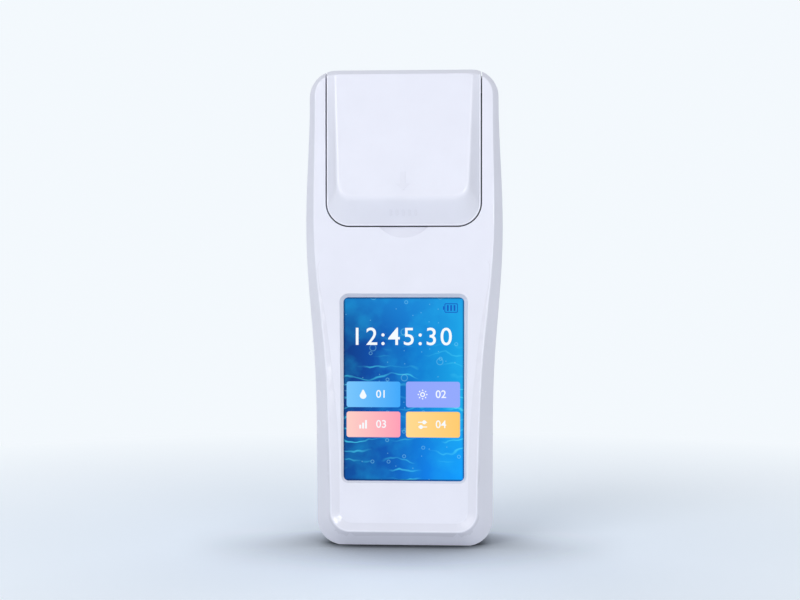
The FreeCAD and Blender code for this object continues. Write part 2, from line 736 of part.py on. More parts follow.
def port_cut():
    """Way in to the charging socket, with a recess for the plug's grip."""
    wall_x = shoulder_half(SOCKET_Z)
    half_y = SOCKET_H / 2 + PORT_CLEAR
    half_z = SOCKET_HALF_Z + PORT_CLEAR
    mouth_r = half_y - ROUND_END_FLAT
    mouth = plate_x(half_y, half_z, mouth_r, wall_x - 2 * WALL, wall_x + 1, SOCKET_Y, SOCKET_Z)
    grip_y = half_y + PORT_SUNK
    grip_r = grip_y - ROUND_END_FLAT
    recess = plate_x(
        grip_y, half_z + PORT_SUNK, grip_r, wall_x - PORT_SUNK, wall_x + 2, SOCKET_Y, SOCKET_Z)
    return mouth.fuse(recess)


def button_plate(grow, x_in, x_out):
    """Power button's outline grown by grow, between two distances from the middle."""
    half_y = BUTTON_HALF_Y + grow
    return plate_x(half_y, BUTTON_HALF_Z + grow, half_y - ROUND_END_FLAT, -x_out, -x_in, BUTTON_Y, BUTTON_Z)


def button_cut():
    """Opening for the power button."""
    wall_x = shoulder_half(BUTTON_Z)
    return button_plate(BUTTON_CLEAR, wall_x - 2 * WALL, wall_x + 1)


def make_power_button():
    """Cap, inner flange and stem of the power button."""
    face_x = shoulder_half(BUTTON_Z) + BUTTON_PROUD - REAR_DRAFT / 4
    flange_x = BUTTON_WALL_X - BUTTON_CLEAR
    cap = button_plate(0, flange_x - BUTTON_FLANGE_T, face_x)
    rim = [e for e in cap.Edges if all(abs(v.X + face_x) < 1e-4 for v in e.Vertexes)]
    cap = cap.makeFillet(BUTTON_PROUD / 2, rim)
    flange = button_plate(BUTTON_FLANGE, flange_x - BUTTON_FLANGE_T, flange_x)
    stem_x = BOARD_HALF + ACTUATOR_LEN + BUTTON_GAP
    stem = rod_x(-flange_x, -stem_x, BUTTON_Y, BUTTON_Z, BUTTON_STEM_R)
    return fuse([cap, flange, stem])


def hood_solid(inset):
    """Wedge hood on the lid, with every face moved in by inset and its outer edge rounded."""
    top = RIDGE_TOP_Z - inset - HOOD_FLANGE / 2
    edge = HOOD_FLANGE + inset

    def plane(z):
        rise = HOOD_RISE_TOP + (HOOD_RISE - HOOD_RISE_TOP) * (RIDGE_TOP_Z - z) / (RIDGE_TOP_Z - HOOD_FOOT_Z)
        return FRONT_Y - rise + inset

    def hood_half(z):
        share = (z - HOOD_FOOT_Z) / (RIDGE_TOP_Z - HOOD_FOOT_Z)
        return HOOD_FOOT_HALF + (HOOD_TOP_HALF - HOOD_FOOT_HALF) * share - 0.8 * inset

    def section(lift, shrink):
        """Outline between the base at lift 0 and the panel at lift 1, drawn in by shrink."""
        def half(z):
            return (1 - lift) * (LID_HALF - edge) + lift * hood_half(z) - shrink

        def y_of(z):
            return (1 - lift) * (FRONT_Y + inset) + lift * plane(z)

        z0 = (1 - lift) * (LID_FOOT_Z + edge) + lift * (HOOD_FOOT_Z + 0.7 * inset) + shrink
        base_r = LID_CORNER_R - HOOD_FLANGE - 0.5 * inset
        r = (1 - lift) * base_r + lift * (HOOD_CORNER_R - 0.5 * inset) - shrink
        return outline_wire(half, (), z0, top, r, 1, y_of)

    if inset:
        return Part.makeLoft([section(0, 0), section(1, 0)], True, True)
    sections = [section(0, 0)]
    start = 1 - HOOD_ROUND / HOOD_RISE
    for step in range(HOOD_ROUND_STEPS + 1):
        u = step / HOOD_ROUND_STEPS
        lift = (1 - u) ** 2 * start + 2 * u * (1 - u) + u ** 2
        sections.append(section(lift, u ** 2 * HOOD_ROUND))
    return Part.makeLoft(sections, True, True)


def mark_on_hood(shape_xz, hood):
    """Raised mark: a flat outline pushed through the hood's face by MARK_PROUD."""
    bar = Part.Face(shape_xz).extrude(V(0, HOOD_RISE + 2, 0))
    lifted = hood.copy()
    lifted.translate(V(0, -MARK_PROUD, 0))
    return bar.common(lifted).cut(hood)


def arrow_wire(y):
    """Arrow that points down to the lid's pressing place."""
    neck = ARROW_TIP_Z + ARROW_HALF
    top = ARROW_TIP_Z + ARROW_LENGTH
    half = [(ARROW_STEM_HALF, top), (ARROW_STEM_HALF, neck), (ARROW_HALF, neck)]
    points = [(x, z) for x, z in half] + [(0, ARROW_TIP_Z)] + [(-x, z) for x, z in reversed(half)]
    return Part.makePolygon([V(x, y, z) for x, z in points + points[:1]])


def make_lid_cover():
    """White lid: front plate with the wedge hood, top plate and hinge barrels."""
    skirt_y = FRONT_Y + LID_SKIRT
    area = plate(LID_HALF, LID_FOOT_Z, HEIGHT + WALL, LID_CORNER_R, 1, FRONT_Y - 1, HINGE_Y)
    block = SHARP_OUTER.common(area)
    block = block.cut(box(-REACH, REACH, skirt_y, REACH, -REACH, HEIGHT - LID_TOP_T))
    block = block.makeFillet(SEAM_ROUND, seam_edges(block, LID_HALF, LID_FOOT_Z, LID_CORNER_R))
    barrel = rod_x(-LID_HALF, LID_HALF, HINGE_Y, HINGE_Z, BARREL_R).common(OUTER)
    hood = hood_solid(0)
    marks = [mark_on_hood(arrow_wire(FRONT_Y - HOOD_RISE - 1), hood)]
    for step in range(GRIP_BARS):
        x = (step - (GRIP_BARS - 1) / 2) * GRIP_PITCH
        bar = rounded_wire(
            GRIP_BAR_HALF, GRIP_BAR_Z - GRIP_BAR_HALF_Z, GRIP_BAR_Z + GRIP_BAR_HALF_Z,
            GRIP_BAR_HALF - ROUND_END_FLAT, GRIP_BAR_HALF - ROUND_END_FLAT, lambda z: FRONT_Y - HOOD_RISE)
        bar.translate(V(x, 0, 0))
        marks.append(mark_on_hood(bar, hood))
    solid = block.fuse(barrel).fuse(hood)
    hollow = plate(
        LID_HALF - LID_WALL, LID_FOOT_Z + LID_WALL, HEIGHT - LID_TOP_T, LID_CORNER_R - LID_WALL, 1,
        LINER_Y, skirt_y + 1)
    cover = solid.cut(hollow).cut(hood_solid(LID_WALL))
    bosses = [rod_y(x, FRONT_Y - HOOD_RISE, LINER_Y, z, LINER_BOSS_R) for x, z in liner_screw_places()]
    cover = cover.fuse(fuse(bosses).common(solid))
    for x, z in liner_screw_places():
        cover = cover.cut(rod_y(x, LINER_Y - LINER_T, LINER_Y + 1, z, SMALL_SCREW_R + THREAD_CLEAR))
    for mark in marks:
        cover = cover.fuse(mark)
    for side in (-1, 1):
        gap = KNUCKLE_HALF + KNUCKLE_GAP
        x = side * KNUCKLE_X
        cover = cover.cut(rod_x(x - gap, x + gap, HINGE_Y, HINGE_Z, BARREL_R + BARREL_GAP))
    cover = cover.cut(spring_room())
    bore = HINGE_PIN_R + HINGE_PIN_CLEAR
    cover = cover.cut(rod_x(-LID_HALF - 1, LID_HALF + 1, HINGE_Y, HINGE_Z, bore))
    return cover.removeSplitter()


def spring_room():
    """Pocket in the middle barrel for the lid spring, open where its legs come out."""
    half = LID_SPRING_HALF + 2 * LID_SPRING_WIRE_R + KNUCKLE_GAP / 2
    r = LID_SPRING_R + 2 * LID_SPRING_WIRE_R + KNUCKLE_GAP
    around = BARREL_R + BARREL_GAP
    pocket = rod_x(-half, half, HINGE_Y, HINGE_Z, r)
    foot_way = rod_x(-half, half, HINGE_Y, HINGE_Z, around)
    foot_way = foot_way.common(box(
        -half, half, HINGE_Y - r, HINGE_Y + around, HINGE_Z - around, HINGE_Z + LID_SPRING_R))
    leg_x = -LID_SPRING_HALF
    leg_half = 2 * LID_SPRING_WIRE_R
    leg_way = box(
        leg_x - leg_half, leg_x + leg_half, HINGE_Y - around, HINGE_Y,
        HINGE_Z + LID_SPRING_R - leg_half, HINGE_Z + BARREL_R - LID_TOP_T)
    return fuse([pocket, foot_way, leg_way])


def liner_screw_places():
    """Screws that hold the lining in the lid."""
    heights = (LID_FOOT_Z + LINER_SCREW_FOOT_UP, RIDGE_TOP_Z - LINER_SCREW_TOP_DOWN)
    return [(sx * LINER_SCREW_X, z) for sx in (-1, 1) for z in heights]


def make_lid_liner():
    """Dark lining of the lid, with a cup over the vial's cap."""
    half = LID_HALF - LID_WALL - LINER_EDGE_GAP
    foot = LID_FOOT_Z + LID_WALL + LINER_EDGE_GAP
    top = HEIGHT - LID_TOP_T - LINER_EDGE_GAP
    sheet = plate(half, foot, top, LID_CORNER_R - LID_WALL, 1, LINER_Y, LINER_REAR_Y)
    cup = rod_y(0, LINER_REAR_Y - CUP_DEPTH, LINER_REAR_Y, WELL_Z, CUP_R)
    hollow = rod_y(0, LINER_REAR_Y - CUP_DEPTH + CUP_WALL, LINER_REAR_Y, WELL_Z, CUP_R - CUP_WALL)
    liner = sheet.fuse(cup).cut(hollow)
    for x, z in liner_screw_places():
        liner = liner.cut(rod_y(x, LINER_Y - 1, LINER_REAR_Y + 1, z, SMALL_SCREW_R + SCREW_CLEAR))
    return liner.removeSplitter()


def make_lid_seal():
    """Foam ring that shuts light out round the well."""
    rear = BAY_Y - SEAL_GAP
    ring = rod_y(0, LINER_REAR_Y, rear, WELL_Z, SEAL_R + SEAL_W)
    return ring.cut(rod_y(0, LINER_REAR_Y, rear, WELL_Z, SEAL_R))


def small_screw(x, z, seat_y, tip_y, radius=SMALL_SCREW_R, head_r=SMALL_HEAD_R, head_h=SMALL_HEAD_H):
    """Screw along Y whose head lies on seat_y and whose tip is at tip_y."""
    out = 1 if seat_y > tip_y else -1
    low, high = sorted((seat_y, seat_y + out * head_h))
    head = rod_y(x, low, high, z, head_r)
    low, high = sorted((seat_y, tip_y))
    shank = rod_y(x, low, high, z, radius)
    slot_y = seat_y + out * head_h / 2
    low, high = sorted((slot_y, slot_y + out * head_h))
    return head.fuse(shank).cut(box(x - head_r, x + head_r, low, high, z - radius / 3, z + radius / 3))


def make_striker():
    """Striker under the lid's lining, with a nose that finds the plunger."""
    block = plate(
        STRIKER_HALF_X, LATCH_Z - STRIKER_HALF_Z, LATCH_Z + STRIKER_HALF_Z, 1, 1, LINER_REAR_Y, STRIKER_Y)
    return block.fuse(rod_y(0, STRIKER_Y, STRIKER_Y + NOSE_LEN, LATCH_Z, NOSE_R))


def make_plunger():
    """Sliding plunger of the push latch."""
    bar = plate(
        PLUNGER_HALF_X, LATCH_Z - PLUNGER_HALF_Z, LATCH_Z + PLUNGER_HALF_Z,
        PLUNGER_CORNER_R, PLUNGER_CORNER_R, PLUNGER_TIP_Y, PLUNGER_END_Y)
    dimple_end = PLUNGER_TIP_Y + NOSE_LEN + NOSE_CLEAR
    return bar.cut(rod_y(0, PLUNGER_TIP_Y, dimple_end, LATCH_Z, NOSE_R + NOSE_CLEAR))


def latch_bore(y0, y1):
    """Hole that the plunger slides in."""
    half_z = PLUNGER_HALF_Z + PLUNGER_CLEAR
    return box(
        -PLUNGER_HALF_X - PLUNGER_CLEAR, PLUNGER_HALF_X + PLUNGER_CLEAR, y0, y1,
        LATCH_Z - half_z, LATCH_Z + half_z)


def latch_screw_places():
    """Screws that hold the latch housing to the deck."""
    x = (LATCH_FLANGE_X + PLUNGER_HALF_X + LATCH_WALL) / 2
    return [(-x, LATCH_Z), (x, LATCH_Z)]


def make_latch_housing():
    """Housing of the push latch behind the deck."""
    half_z = PLUNGER_HALF_Z + PLUNGER_CLEAR + LATCH_WALL
    half_x = PLUNGER_HALF_X + PLUNGER_CLEAR + LATCH_WALL
    body = box(-half_x, half_x, DECK_REAR_Y, SPRING_END_Y + LATCH_WALL, LATCH_Z - half_z, LATCH_Z + half_z)
    flange = plate(
        LATCH_FLANGE_X, LATCH_Z - half_z, LATCH_Z + half_z, 1, 1, DECK_REAR_Y, DECK_REAR_Y + LATCH_FLANGE_T)
    housing = fuse([body, flange]).cut(latch_bore(DECK_REAR_Y - 1, SPRING_END_Y))
    for x, z in latch_screw_places():
        end = DECK_REAR_Y + LATCH_FLANGE_T + 1
        housing = housing.cut(rod_y(x, DECK_REAR_Y - 1, end, z, SMALL_SCREW_R + THREAD_CLEAR))
    return housing


def coil(radius, wire_r, length, turns):
    """Coil of wire that stands on Z, from 0 to length over the wire's middle."""
    helix = Part.makeHelix(length / turns, length, radius)
    section = Part.Wire(Part.makeCircle(wire_r, V(radius, 0, 0), V(0, 1, 0)))
    return Part.Wire(helix.Edges).makePipeShell([section], True, True)


def make_latch_spring():
    """Compression spring behind the plunger."""
    spring = coil(SPRING_R, SPRING_WIRE_R, SPRING_LENGTH - 2 * (SPRING_WIRE_R + SPRING_PLAY), SPRING_TURNS)
    spring.rotate(V(0, 0, 0), V(1, 0, 0), -90)
    spring.translate(V(0, PLUNGER_END_Y + SPRING_WIRE_R + SPRING_PLAY, LATCH_Z))
    return spring


def make_lid_spring():
    """Torsion spring round the hinge pin, with one leg under the lid and one in the trough."""
    turns = math.floor(2 * LID_SPRING_HALF / LID_SPRING_PITCH) + 0.25
    spring = coil(LID_SPRING_R, LID_SPRING_WIRE_R, 2 * LID_SPRING_HALF, turns)
    spring.rotate(V(0, 0, 0), V(0, 1, 0), 90)
    spring.rotate(V(0, 0, 0), V(1, 0, 0), 180)
    upper = rod_y(-LID_SPRING_HALF, -LID_SPRING_LEG, 0, LID_SPRING_R, LID_SPRING_WIRE_R)
    lower = rod_z(LID_SPRING_HALF, -LID_SPRING_R, -LID_SPRING_FOOT, 0, LID_SPRING_WIRE_R)
    spring.translate(V(-LID_SPRING_HALF, 0, 0))
    whole = fuse([spring, upper, lower])
    whole.translate(V(0, HINGE_Y, HINGE_Z))
    return whole


def make_deck():
    """Dark deck under the lid: front floor with the well's mouth, and top floor."""
    half = LID_HALF + LID_GAP + BAY_WALL - DECK_FIT
    foot = LID_FOOT_Z - LID_GAP - BAY_WALL + DECK_FIT
    front = plate(half, foot, DECK_TOP_Z, LID_CORNER_R + LID_GAP + BAY_WALL, 0.5, BAY_Y, DECK_REAR_Y)
    top = box(-half, half, BAY_Y, HINGE_Y, DECK_TOP_Z - DECK_T, DECK_TOP_Z)
    deck = front.fuse(top)
    trough_r = BARREL_R + BARREL_GAP + TROUGH_WALL + DECK_FIT
    deck = deck.cut(rod_x(-half - 1, half + 1, HINGE_Y, HINGE_Z, trough_r))
    funnel = Part.makeCone(
        WELL_R + DECK_T, WELL_R, DECK_T, V(0, BAY_Y, WELL_Z), V(0, 1, 0))
    deck = deck.cut(funnel).cut(latch_bore(BAY_Y - 1, DECK_REAR_Y + 1))
    for x, z in deck_screw_places() + latch_screw_places():
        deck = deck.cut(rod_y(x, BAY_Y - 1, DECK_REAR_Y + 1, z, SMALL_SCREW_R + SCREW_CLEAR))
    return deck.removeSplitter()


def deck_screw_places():
    """Screws that hold the deck to the cell holder's ears."""
    x = HOLDER_HALF + EAR_OUT
    rise = HOLDER_HALF - EAR_IN
    return [(sx * x, WELL_Z + sz * rise) for sx in (-1, 1) for sz in (-1, 1)]


def optic_screw_places():
    """Screws of the two optics boards, as y and z."""
    reach = OPTIC_BOARD_HALF - OPTIC_SCREW_IN
    return [(BEAM_Y - reach, WELL_Z + reach), (BEAM_Y + reach, WELL_Z - reach)]


def make_cell_holder():
    """Black block with the sample well, the light path across it and its mounting ears."""
    half = HOLDER_HALF
    block = plate(
        half, WELL_Z - half, WELL_Z + half, HOLDER_CORNER_R, HOLDER_CORNER_R, DECK_REAR_Y, INNER_REAR_Y)
    for x, z in deck_screw_places():
        ear_x = abs(x) + EAR_HALF
        ear = box(-ear_x, ear_x, DECK_REAR_Y, DECK_REAR_Y + EAR_T, z - EAR_HALF, z + EAR_HALF)
        block = block.fuse(ear)
    for side in (-1, 1):
        for y, z in optic_screw_places():
            ends = sorted((side * half, side * (half + OPTIC_PAD_H)))
            block = block.fuse(rod_x(ends[0], ends[1], y, z, OPTIC_PAD_R))
    block = block.cut(rod_y(0, DECK_REAR_Y - 1, WELL_FLOOR_Y, WELL_Z, WELL_R))
    block = block.cut(rod_x(-half, half, BEAM_Y, WELL_Z, BEAM_R))
    seat = FILTER_T + FILTER_SUNK
    for side in (-1, 1):
        ends = sorted((side * (half + 0.5), side * (half - seat)))
        block = block.cut(rod_x(ends[0], ends[1], BEAM_Y, WELL_Z, FILTER_R + OPTIC_CLEAR))
        for y, z in optic_screw_places():
            ends = sorted((side * (half + 2 * OPTIC_PAD_H), side * (half - OPTIC_SCREW_BITE - TIP_ROOM)))
            block = block.cut(rod_x(ends[0], ends[1], y, z, SMALL_SCREW_R + THREAD_CLEAR))
    for x, z in deck_screw_places():
        block = block.cut(rod_y(x, DECK_REAR_Y - 1, DECK_REAR_Y + EAR_T + 1, z, SMALL_SCREW_R + THREAD_CLEAR))
    return block.removeSplitter()


def optic_rod(side, near, far, r):
    """Round piece on the light path, between two distances from the well's axis."""
    ends = sorted((side * near, side * far))
    return rod_x(ends[0], ends[1], BEAM_Y, WELL_Z, r)


def make_filter(side):
    """Glass disc in front of the lamp or the detector."""
    seat = HOLDER_HALF - FILTER_T - FILTER_SUNK
    return optic_rod(side, seat, seat + FILTER_T, FILTER_R)


def make_lamp(side, flange_r):
    """Round lamp or detector in its flange, on its board."""
    near = HOLDER_HALF - FILTER_SUNK
    board = HOLDER_HALF + OPTIC_PAD_H
    body = optic_rod(side, near + OPTIC_CLEAR, board, LED_R)
    flange = optic_rod(side, board - FLANGE_T, board, flange_r)
    return body.fuse(flange)


def make_optic_board(side):
    """Small board on the side of the cell holder."""
    near = HOLDER_HALF + OPTIC_PAD_H
    half = OPTIC_BOARD_HALF
    ends = sorted((side * near, side * (near + BOARD_T)))
    board = box(ends[0], ends[1], BEAM_Y - half, BEAM_Y + half, WELL_Z - half, WELL_Z + half)
    for y, z in optic_screw_places():
        board = board.cut(rod_x(ends[0] - 1, ends[1] + 1, y, z, SMALL_SCREW_R + SCREW_CLEAR))
    return board


def make_optic_screws():
    """Screws of both optics boards."""
    screws = []
    for side in (-1, 1):
        seat = HOLDER_HALF + OPTIC_PAD_H + BOARD_T
        for y, z in optic_screw_places():
            ends = sorted((side * seat, side * (seat + SMALL_HEAD_H)))
            head = rod_x(ends[0], ends[1], y, z, SMALL_HEAD_R)
            ends = sorted((side * (HOLDER_HALF - OPTIC_SCREW_BITE), side * seat))
            screws.append(head.fuse(rod_x(ends[0], ends[1], y, z, SMALL_SCREW_R)))
    return Part.makeCompound(screws)


def make_gasket():
    """Foam frame between the window's lip and the cover glass."""
    frame = screen_layer(0, GLASS_Y - GASKET_T, GLASS_Y)
    return frame.cut(screen_layer(-GASKET_W, GLASS_Y - GASKET_T, GLASS_Y))


def make_display_frame():
    """Plastic frame that holds the screen in the front shell and carries the main board."""
    y0 = FRAME_Y
    y1 = FRAME_Y + FRAME_T
    z0 = SCREEN_Z - FRAME_HALF_TALL
    z1 = SCREEN_Z + FRAME_HALF_TALL
    frame = plate(FRAME_HALF, z0, z1, SCREEN_CORNER_R, SCREEN_CORNER_R, y0, y1)
    open_z = FRAME_OPEN_HALF_TALL
    frame = frame.cut(plate(FRAME_OPEN_HALF, SCREEN_Z - open_z, SCREEN_Z + open_z, 2, 2, y0, y1))
    for x, z in frame_screw_places():
        frame = frame.fuse(rod_y(x, y0, y1, z, FRAME_EAR_R))
        inner = math.copysign(FRAME_HALF - 1, x)
        lo, hi = sorted((x, inner))
        frame = frame.fuse(box(lo, hi, y0, y1, z - FRAME_EAR_R, z + FRAME_EAR_R))
    for x, z in post_places():
        frame = frame.fuse(rod_y(x, y0, BOARD_Y, z, POST_R))
    for x, z in frame_screw_places():
        frame = frame.cut(rod_y(x, y0 - 1, y1 + 1, z, SMALL_SCREW_R + SCREW_CLEAR / 2))
    for x, z in post_places():
        frame = frame.cut(rod_y(x, y0, BOARD_Y + 1, z, SMALL_SCREW_R + THREAD_CLEAR))
    return frame.removeSplitter()


def make_main_board():
    """Main circuit board."""
    board = plate(
        BOARD_HALF, BOARD_FOOT_Z, BOARD_TOP_Z, BOARD_CORNER_R, BOARD_CORNER_R, BOARD_Y, BOARD_REAR_Y)
    for x, z in post_places():
        board = board.cut(rod_y(x, BOARD_Y - 1, BOARD_REAR_Y + 1, z, SMALL_SCREW_R + SCREW_CLEAR))
    return board


def on_board(x, z, half_x, half_z, height):
    """Box-shaped component on the board's rear face."""
    return box(x - half_x, x + half_x, BOARD_REAR_Y, BOARD_REAR_Y + height, z - half_z, z + half_z)


def make_shield():
    """Metal can over the processor, with a folded rim."""
    can = on_board(0, SHIELD_Z, SHIELD_HALF, SHIELD_HALF, SHIELD_H)
    upright = [e for e in can.Edges if abs(e.Vertexes[0].Y - e.Vertexes[1].Y) > SHIELD_H / 2]
    return can.makeFillet(SHIELD_ROUND, upright)


def make_chips():
    """Packaged chips on the board."""
    return Part.makeCompound([on_board(x, z, CHIP_HALF, CHIP_HALF, CHIP_H) for x, z in CHIP_PLACES])


def make_buzzer():
    """Round buzzer with a sound hole."""
    top = BOARD_REAR_Y + BUZZER_H
    drum = rod_y(BUZZER_X, BOARD_REAR_Y, top, BUZZER_Z, BUZZER_R)
    return drum.cut(rod_y(BUZZER_X, top - BUZZER_H / 4, top, BUZZER_Z, BUZZER_HOLE_R))


def make_ribbon():
    """Flat flex from the foot of the screen round to the front of the main board."""
    y0 = BACKLIGHT_Y + BACKLIGHT_T / 2
    screen_foot = SCREEN_Z - SCREEN_HALF_TALL - GLASS_MARGIN + OPTIC_CLEAR
    low = SCREEN_Z - FRAME_HALF_TALL - RIBBON_DROP
    t = RIBBON_T
    half = RIBBON_HALF
    down = box(-half, half, y0, y0 + t, low, screen_foot)
    across = box(-half, half, y0, BOARD_Y, low, low + t)
    up = box(-half, half, BOARD_Y - t, BOARD_Y, low, low + RIBBON_TAIL)
    strip = fuse([down, across, up])
    corners = [e for e in strip.Edges if abs(e.Vertexes[0].X - e.Vertexes[1].X) > half]
    outer = [e for e in corners if abs(e.Vertexes[0].Z - low) < 1e-4]
    return strip.makeFillet(t * 0.9, outer)


def make_socket():
    """Metal shell of the charging socket."""
    end = SOCKET_MOUTH_X
    start = end - SOCKET_LEN
    half_y = SOCKET_H / 2
    shell = plate_x(half_y, SOCKET_HALF_Z, half_y - ROUND_END_FLAT, start, end, SOCKET_Y, SOCKET_Z)
    t = SOCKET_SHELL_T
    hollow = plate_x(
        half_y - t, SOCKET_HALF_Z - t, half_y - t - ROUND_END_FLAT,
        start + SOCKET_BACK_T, end + 1, SOCKET_Y, SOCKET_Z)
    return shell.cut(hollow)


def make_socket_tongue():
    """Contact tongue inside the charging socket."""
    start = SOCKET_MOUTH_X - SOCKET_LEN + SOCKET_BACK_T
    return box(
        start, SOCKET_MOUTH_X - TONGUE_SUNK, SOCKET_Y - TONGUE_HALF_Y, SOCKET_Y + TONGUE_HALF_Y,
        SOCKET_Z - TONGUE_HALF_Z, SOCKET_Z + TONGUE_HALF_Z)


def make_switch():
    """Side-acting switch behind the power button."""
    body = box(
        -BOARD_HALF, -BOARD_HALF + SWITCH_LEN, BOARD_REAR_Y, BOARD_REAR_Y + SWITCH_H,
        BUTTON_Z - SWITCH_HALF_Z, BUTTON_Z + SWITCH_HALF_Z)
    return body.fuse(rod_x(-BOARD_HALF - ACTUATOR_LEN, -BOARD_HALF, BUTTON_Y, BUTTON_Z, BUTTON_STEM_R))


def make_cells():
    """Two round lithium cells, each with its raised end."""
    cells = []
    for side in (-1, 1):
        z1 = CELL_FOOT_Z + CELL_LENGTH
        can = rod_z(side * CELL_X, CELL_Y, CELL_FOOT_Z, z1 - CELL_CAP_H, CELL_R)
        cells.append(can.fuse(rod_z(side * CELL_X, CELL_Y, z1 - CELL_CAP_H, z1, CELL_R / 3)))
    return Part.makeCompound(cells)


def make_tray():
    """Open tray that holds the cells against the battery door."""
    half = TRAY_IN_HALF + TRAY_T
    outer = box(-half, half, TRAY_Y - TRAY_T, INNER_REAR_Y, TRAY_IN_Z0 - TRAY_T, TRAY_IN_Z1 + TRAY_T)
    return outer.cut(box(-TRAY_IN_HALF, TRAY_IN_HALF, TRAY_Y, INNER_REAR_Y, TRAY_IN_Z0, TRAY_IN_Z1))


def make_contacts():
    """Spring contacts at the ends of the cells."""
    plates = []
    for side in (-1, 1):
        for z in (TRAY_IN_Z0, TRAY_IN_Z1 - CELL_SEAT):
            x = side * CELL_X
            plates.append(box(
                x - CONTACT_HALF_X, x + CONTACT_HALF_X, CELL_Y - CONTACT_HALF_Y, CELL_Y + CONTACT_HALF_Y,
                z, z + CELL_SEAT))
    return Part.makeCompound(plates)


def make_door():
    """Battery door in the back."""
    g = DOOR_GAP
    door = plate(
        DOOR_HALF - g, DOOR_Z0 + g, DOOR_Z1 - g, DOOR_CORNER_R - g, DOOR_CORNER_R - g,
        REAR_Y - DOOR_T, REAR_Y)
    for z in DOOR_SCREW_Z:
        head_seat = REAR_Y - SMALL_HEAD_H - HEAD_SUNK
        door = door.cut(rod_y(0, head_seat, REAR_Y + 1, z, SMALL_HEAD_R + SCREW_CLEAR))
        door = door.cut(rod_y(0, REAR_Y - DOOR_T - 1, REAR_Y, z, SMALL_SCREW_R + SCREW_CLEAR))
    return door


def make_inserts():
    """Brass threaded inserts in the front shell's bosses."""
    sleeves = []
    for x, z in case_screw_places():
        sleeve = rod_y(x, PARTING_Y - INSERT_LEN, PARTING_Y, z, INSERT_R)
        sleeves.append(sleeve.cut(rod_y(x, PARTING_Y - INSERT_LEN, PARTING_Y, z, SCREW_R + THREAD_CLEAR)))
    return Part.makeCompound(sleeves)


def screw_group(places, seat_y, tip_y, **sizes):
    """Group of like screws."""
    return Part.makeCompound([small_screw(x, z, seat_y, tip_y, **sizes) for x, z in places])


def make_parts():
    """Every piece of the instrument, by name."""
    parts = {}
    parts["front_shell"] = make_front_shell()
    parts["rear_shell"] = make_rear_shell()
    parts["case_seal"] = CASE_SEAL
    parts["lid_cover"] = make_lid_cover()
    parts["lid_liner"] = make_lid_liner()
    parts["lid_light_seal"] = make_lid_seal()
    parts["lid_liner_screws"] = screw_group(liner_screw_places(), LINER_REAR_Y, LINER_Y - LINER_T + TIP_ROOM)
    parts["latch_striker"] = make_striker()
    parts["hinge_pin"] = rod_x(
        -LID_HALF - LID_GAP - BAY_WALL, LID_HALF + LID_GAP + BAY_WALL, HINGE_Y, HINGE_Z, HINGE_PIN_R)
    parts["lid_spring"] = make_lid_spring()
    parts["well_deck"] = make_deck()
    parts["deck_screws"] = screw_group(deck_screw_places(), BAY_Y, DECK_REAR_Y + EAR_T - TIP_ROOM)
    parts["latch_housing"] = make_latch_housing()
    parts["latch_plunger"] = make_plunger()
    parts["latch_spring"] = make_latch_spring()
    parts["latch_screws"] = screw_group(latch_screw_places(), BAY_Y, DECK_REAR_Y + LATCH_FLANGE_T)
    parts["cell_holder"] = make_cell_holder()
    parts["lamp_filter"] = make_filter(-1)
    parts["detector_filter"] = make_filter(1)
    parts["measuring_lamp"] = make_lamp(-1, LED_R + LAMP_FLANGE)
    parts["light_detector"] = make_lamp(1, LED_R + DETECTOR_FLANGE)
    parts["lamp_board"] = make_optic_board(-1)
    parts["detector_board"] = make_optic_board(1)
    parts["optic_board_screws"] = make_optic_screws()
    parts["screen_gasket"] = make_gasket()
    parts["screen_glass"] = screen_layer(0, GLASS_Y, LCD_Y)
    parts["lcd_panel"] = screen_layer(-OPTIC_CLEAR, LCD_Y, BACKLIGHT_Y)
    parts["backlight"] = screen_layer(-OPTIC_CLEAR, BACKLIGHT_Y, FRAME_Y)
    parts["display_frame"] = make_display_frame()
    parts["display_frame_screws"] = screw_group(
        frame_screw_places(), FRAME_Y + FRAME_T, FRONT_Y + WALL + TIP_ROOM)
    parts["display_ribbon"] = make_ribbon()
    parts["main_board"] = make_main_board()
    parts["main_board_screws"] = screw_group(post_places(), BOARD_REAR_Y, FRAME_Y + TIP_ROOM)
    parts["processor_shield"] = make_shield()
    parts["board_chips"] = make_chips()
    parts["buzzer"] = make_buzzer()
    parts["charging_socket"] = make_socket()
    parts["socket_tongue"] = make_socket_tongue()
    parts["power_switch"] = make_switch()
    parts["power_button"] = make_power_button()
    parts["battery_cells"] = make_cells()
    parts["battery_tray"] = make_tray()
    parts["battery_contacts"] = make_contacts()
    parts["battery_door"] = make_door()
    parts["battery_door_screws"] = screw_group(
        [(0, z) for z in DOOR_SCREW_Z], REAR_Y - SMALL_HEAD_H - HEAD_SUNK, CELL_Y + WALL + TIP_ROOM)
    parts["thread_inserts"] = make_inserts()
    parts["case_screws"] = screw_group(
        case_screw_places(), CASE_SEAT_Y, CASE_SEAT_Y - CASE_SCREW_LENGTH,
        radius=SCREW_R, head_r=SCREW_HEAD_R, head_h=SCREW_HEAD_H)
    parts["back_pads"] = Part.makeCompound(
        [rod_y(x, REAR_Y - PAD_SUNK, REAR_Y + FOOT_PAD_PROUD, z, PAD_R) for x, z in pad_places()])
    return parts


for name, shape in make_parts().items():
    shape.exportStep("parts/" + name + ".step")
    print(name, "solids", len(shape.Solids), "valid", shape.isValid(), "mm3", round(shape.Volume, 1))
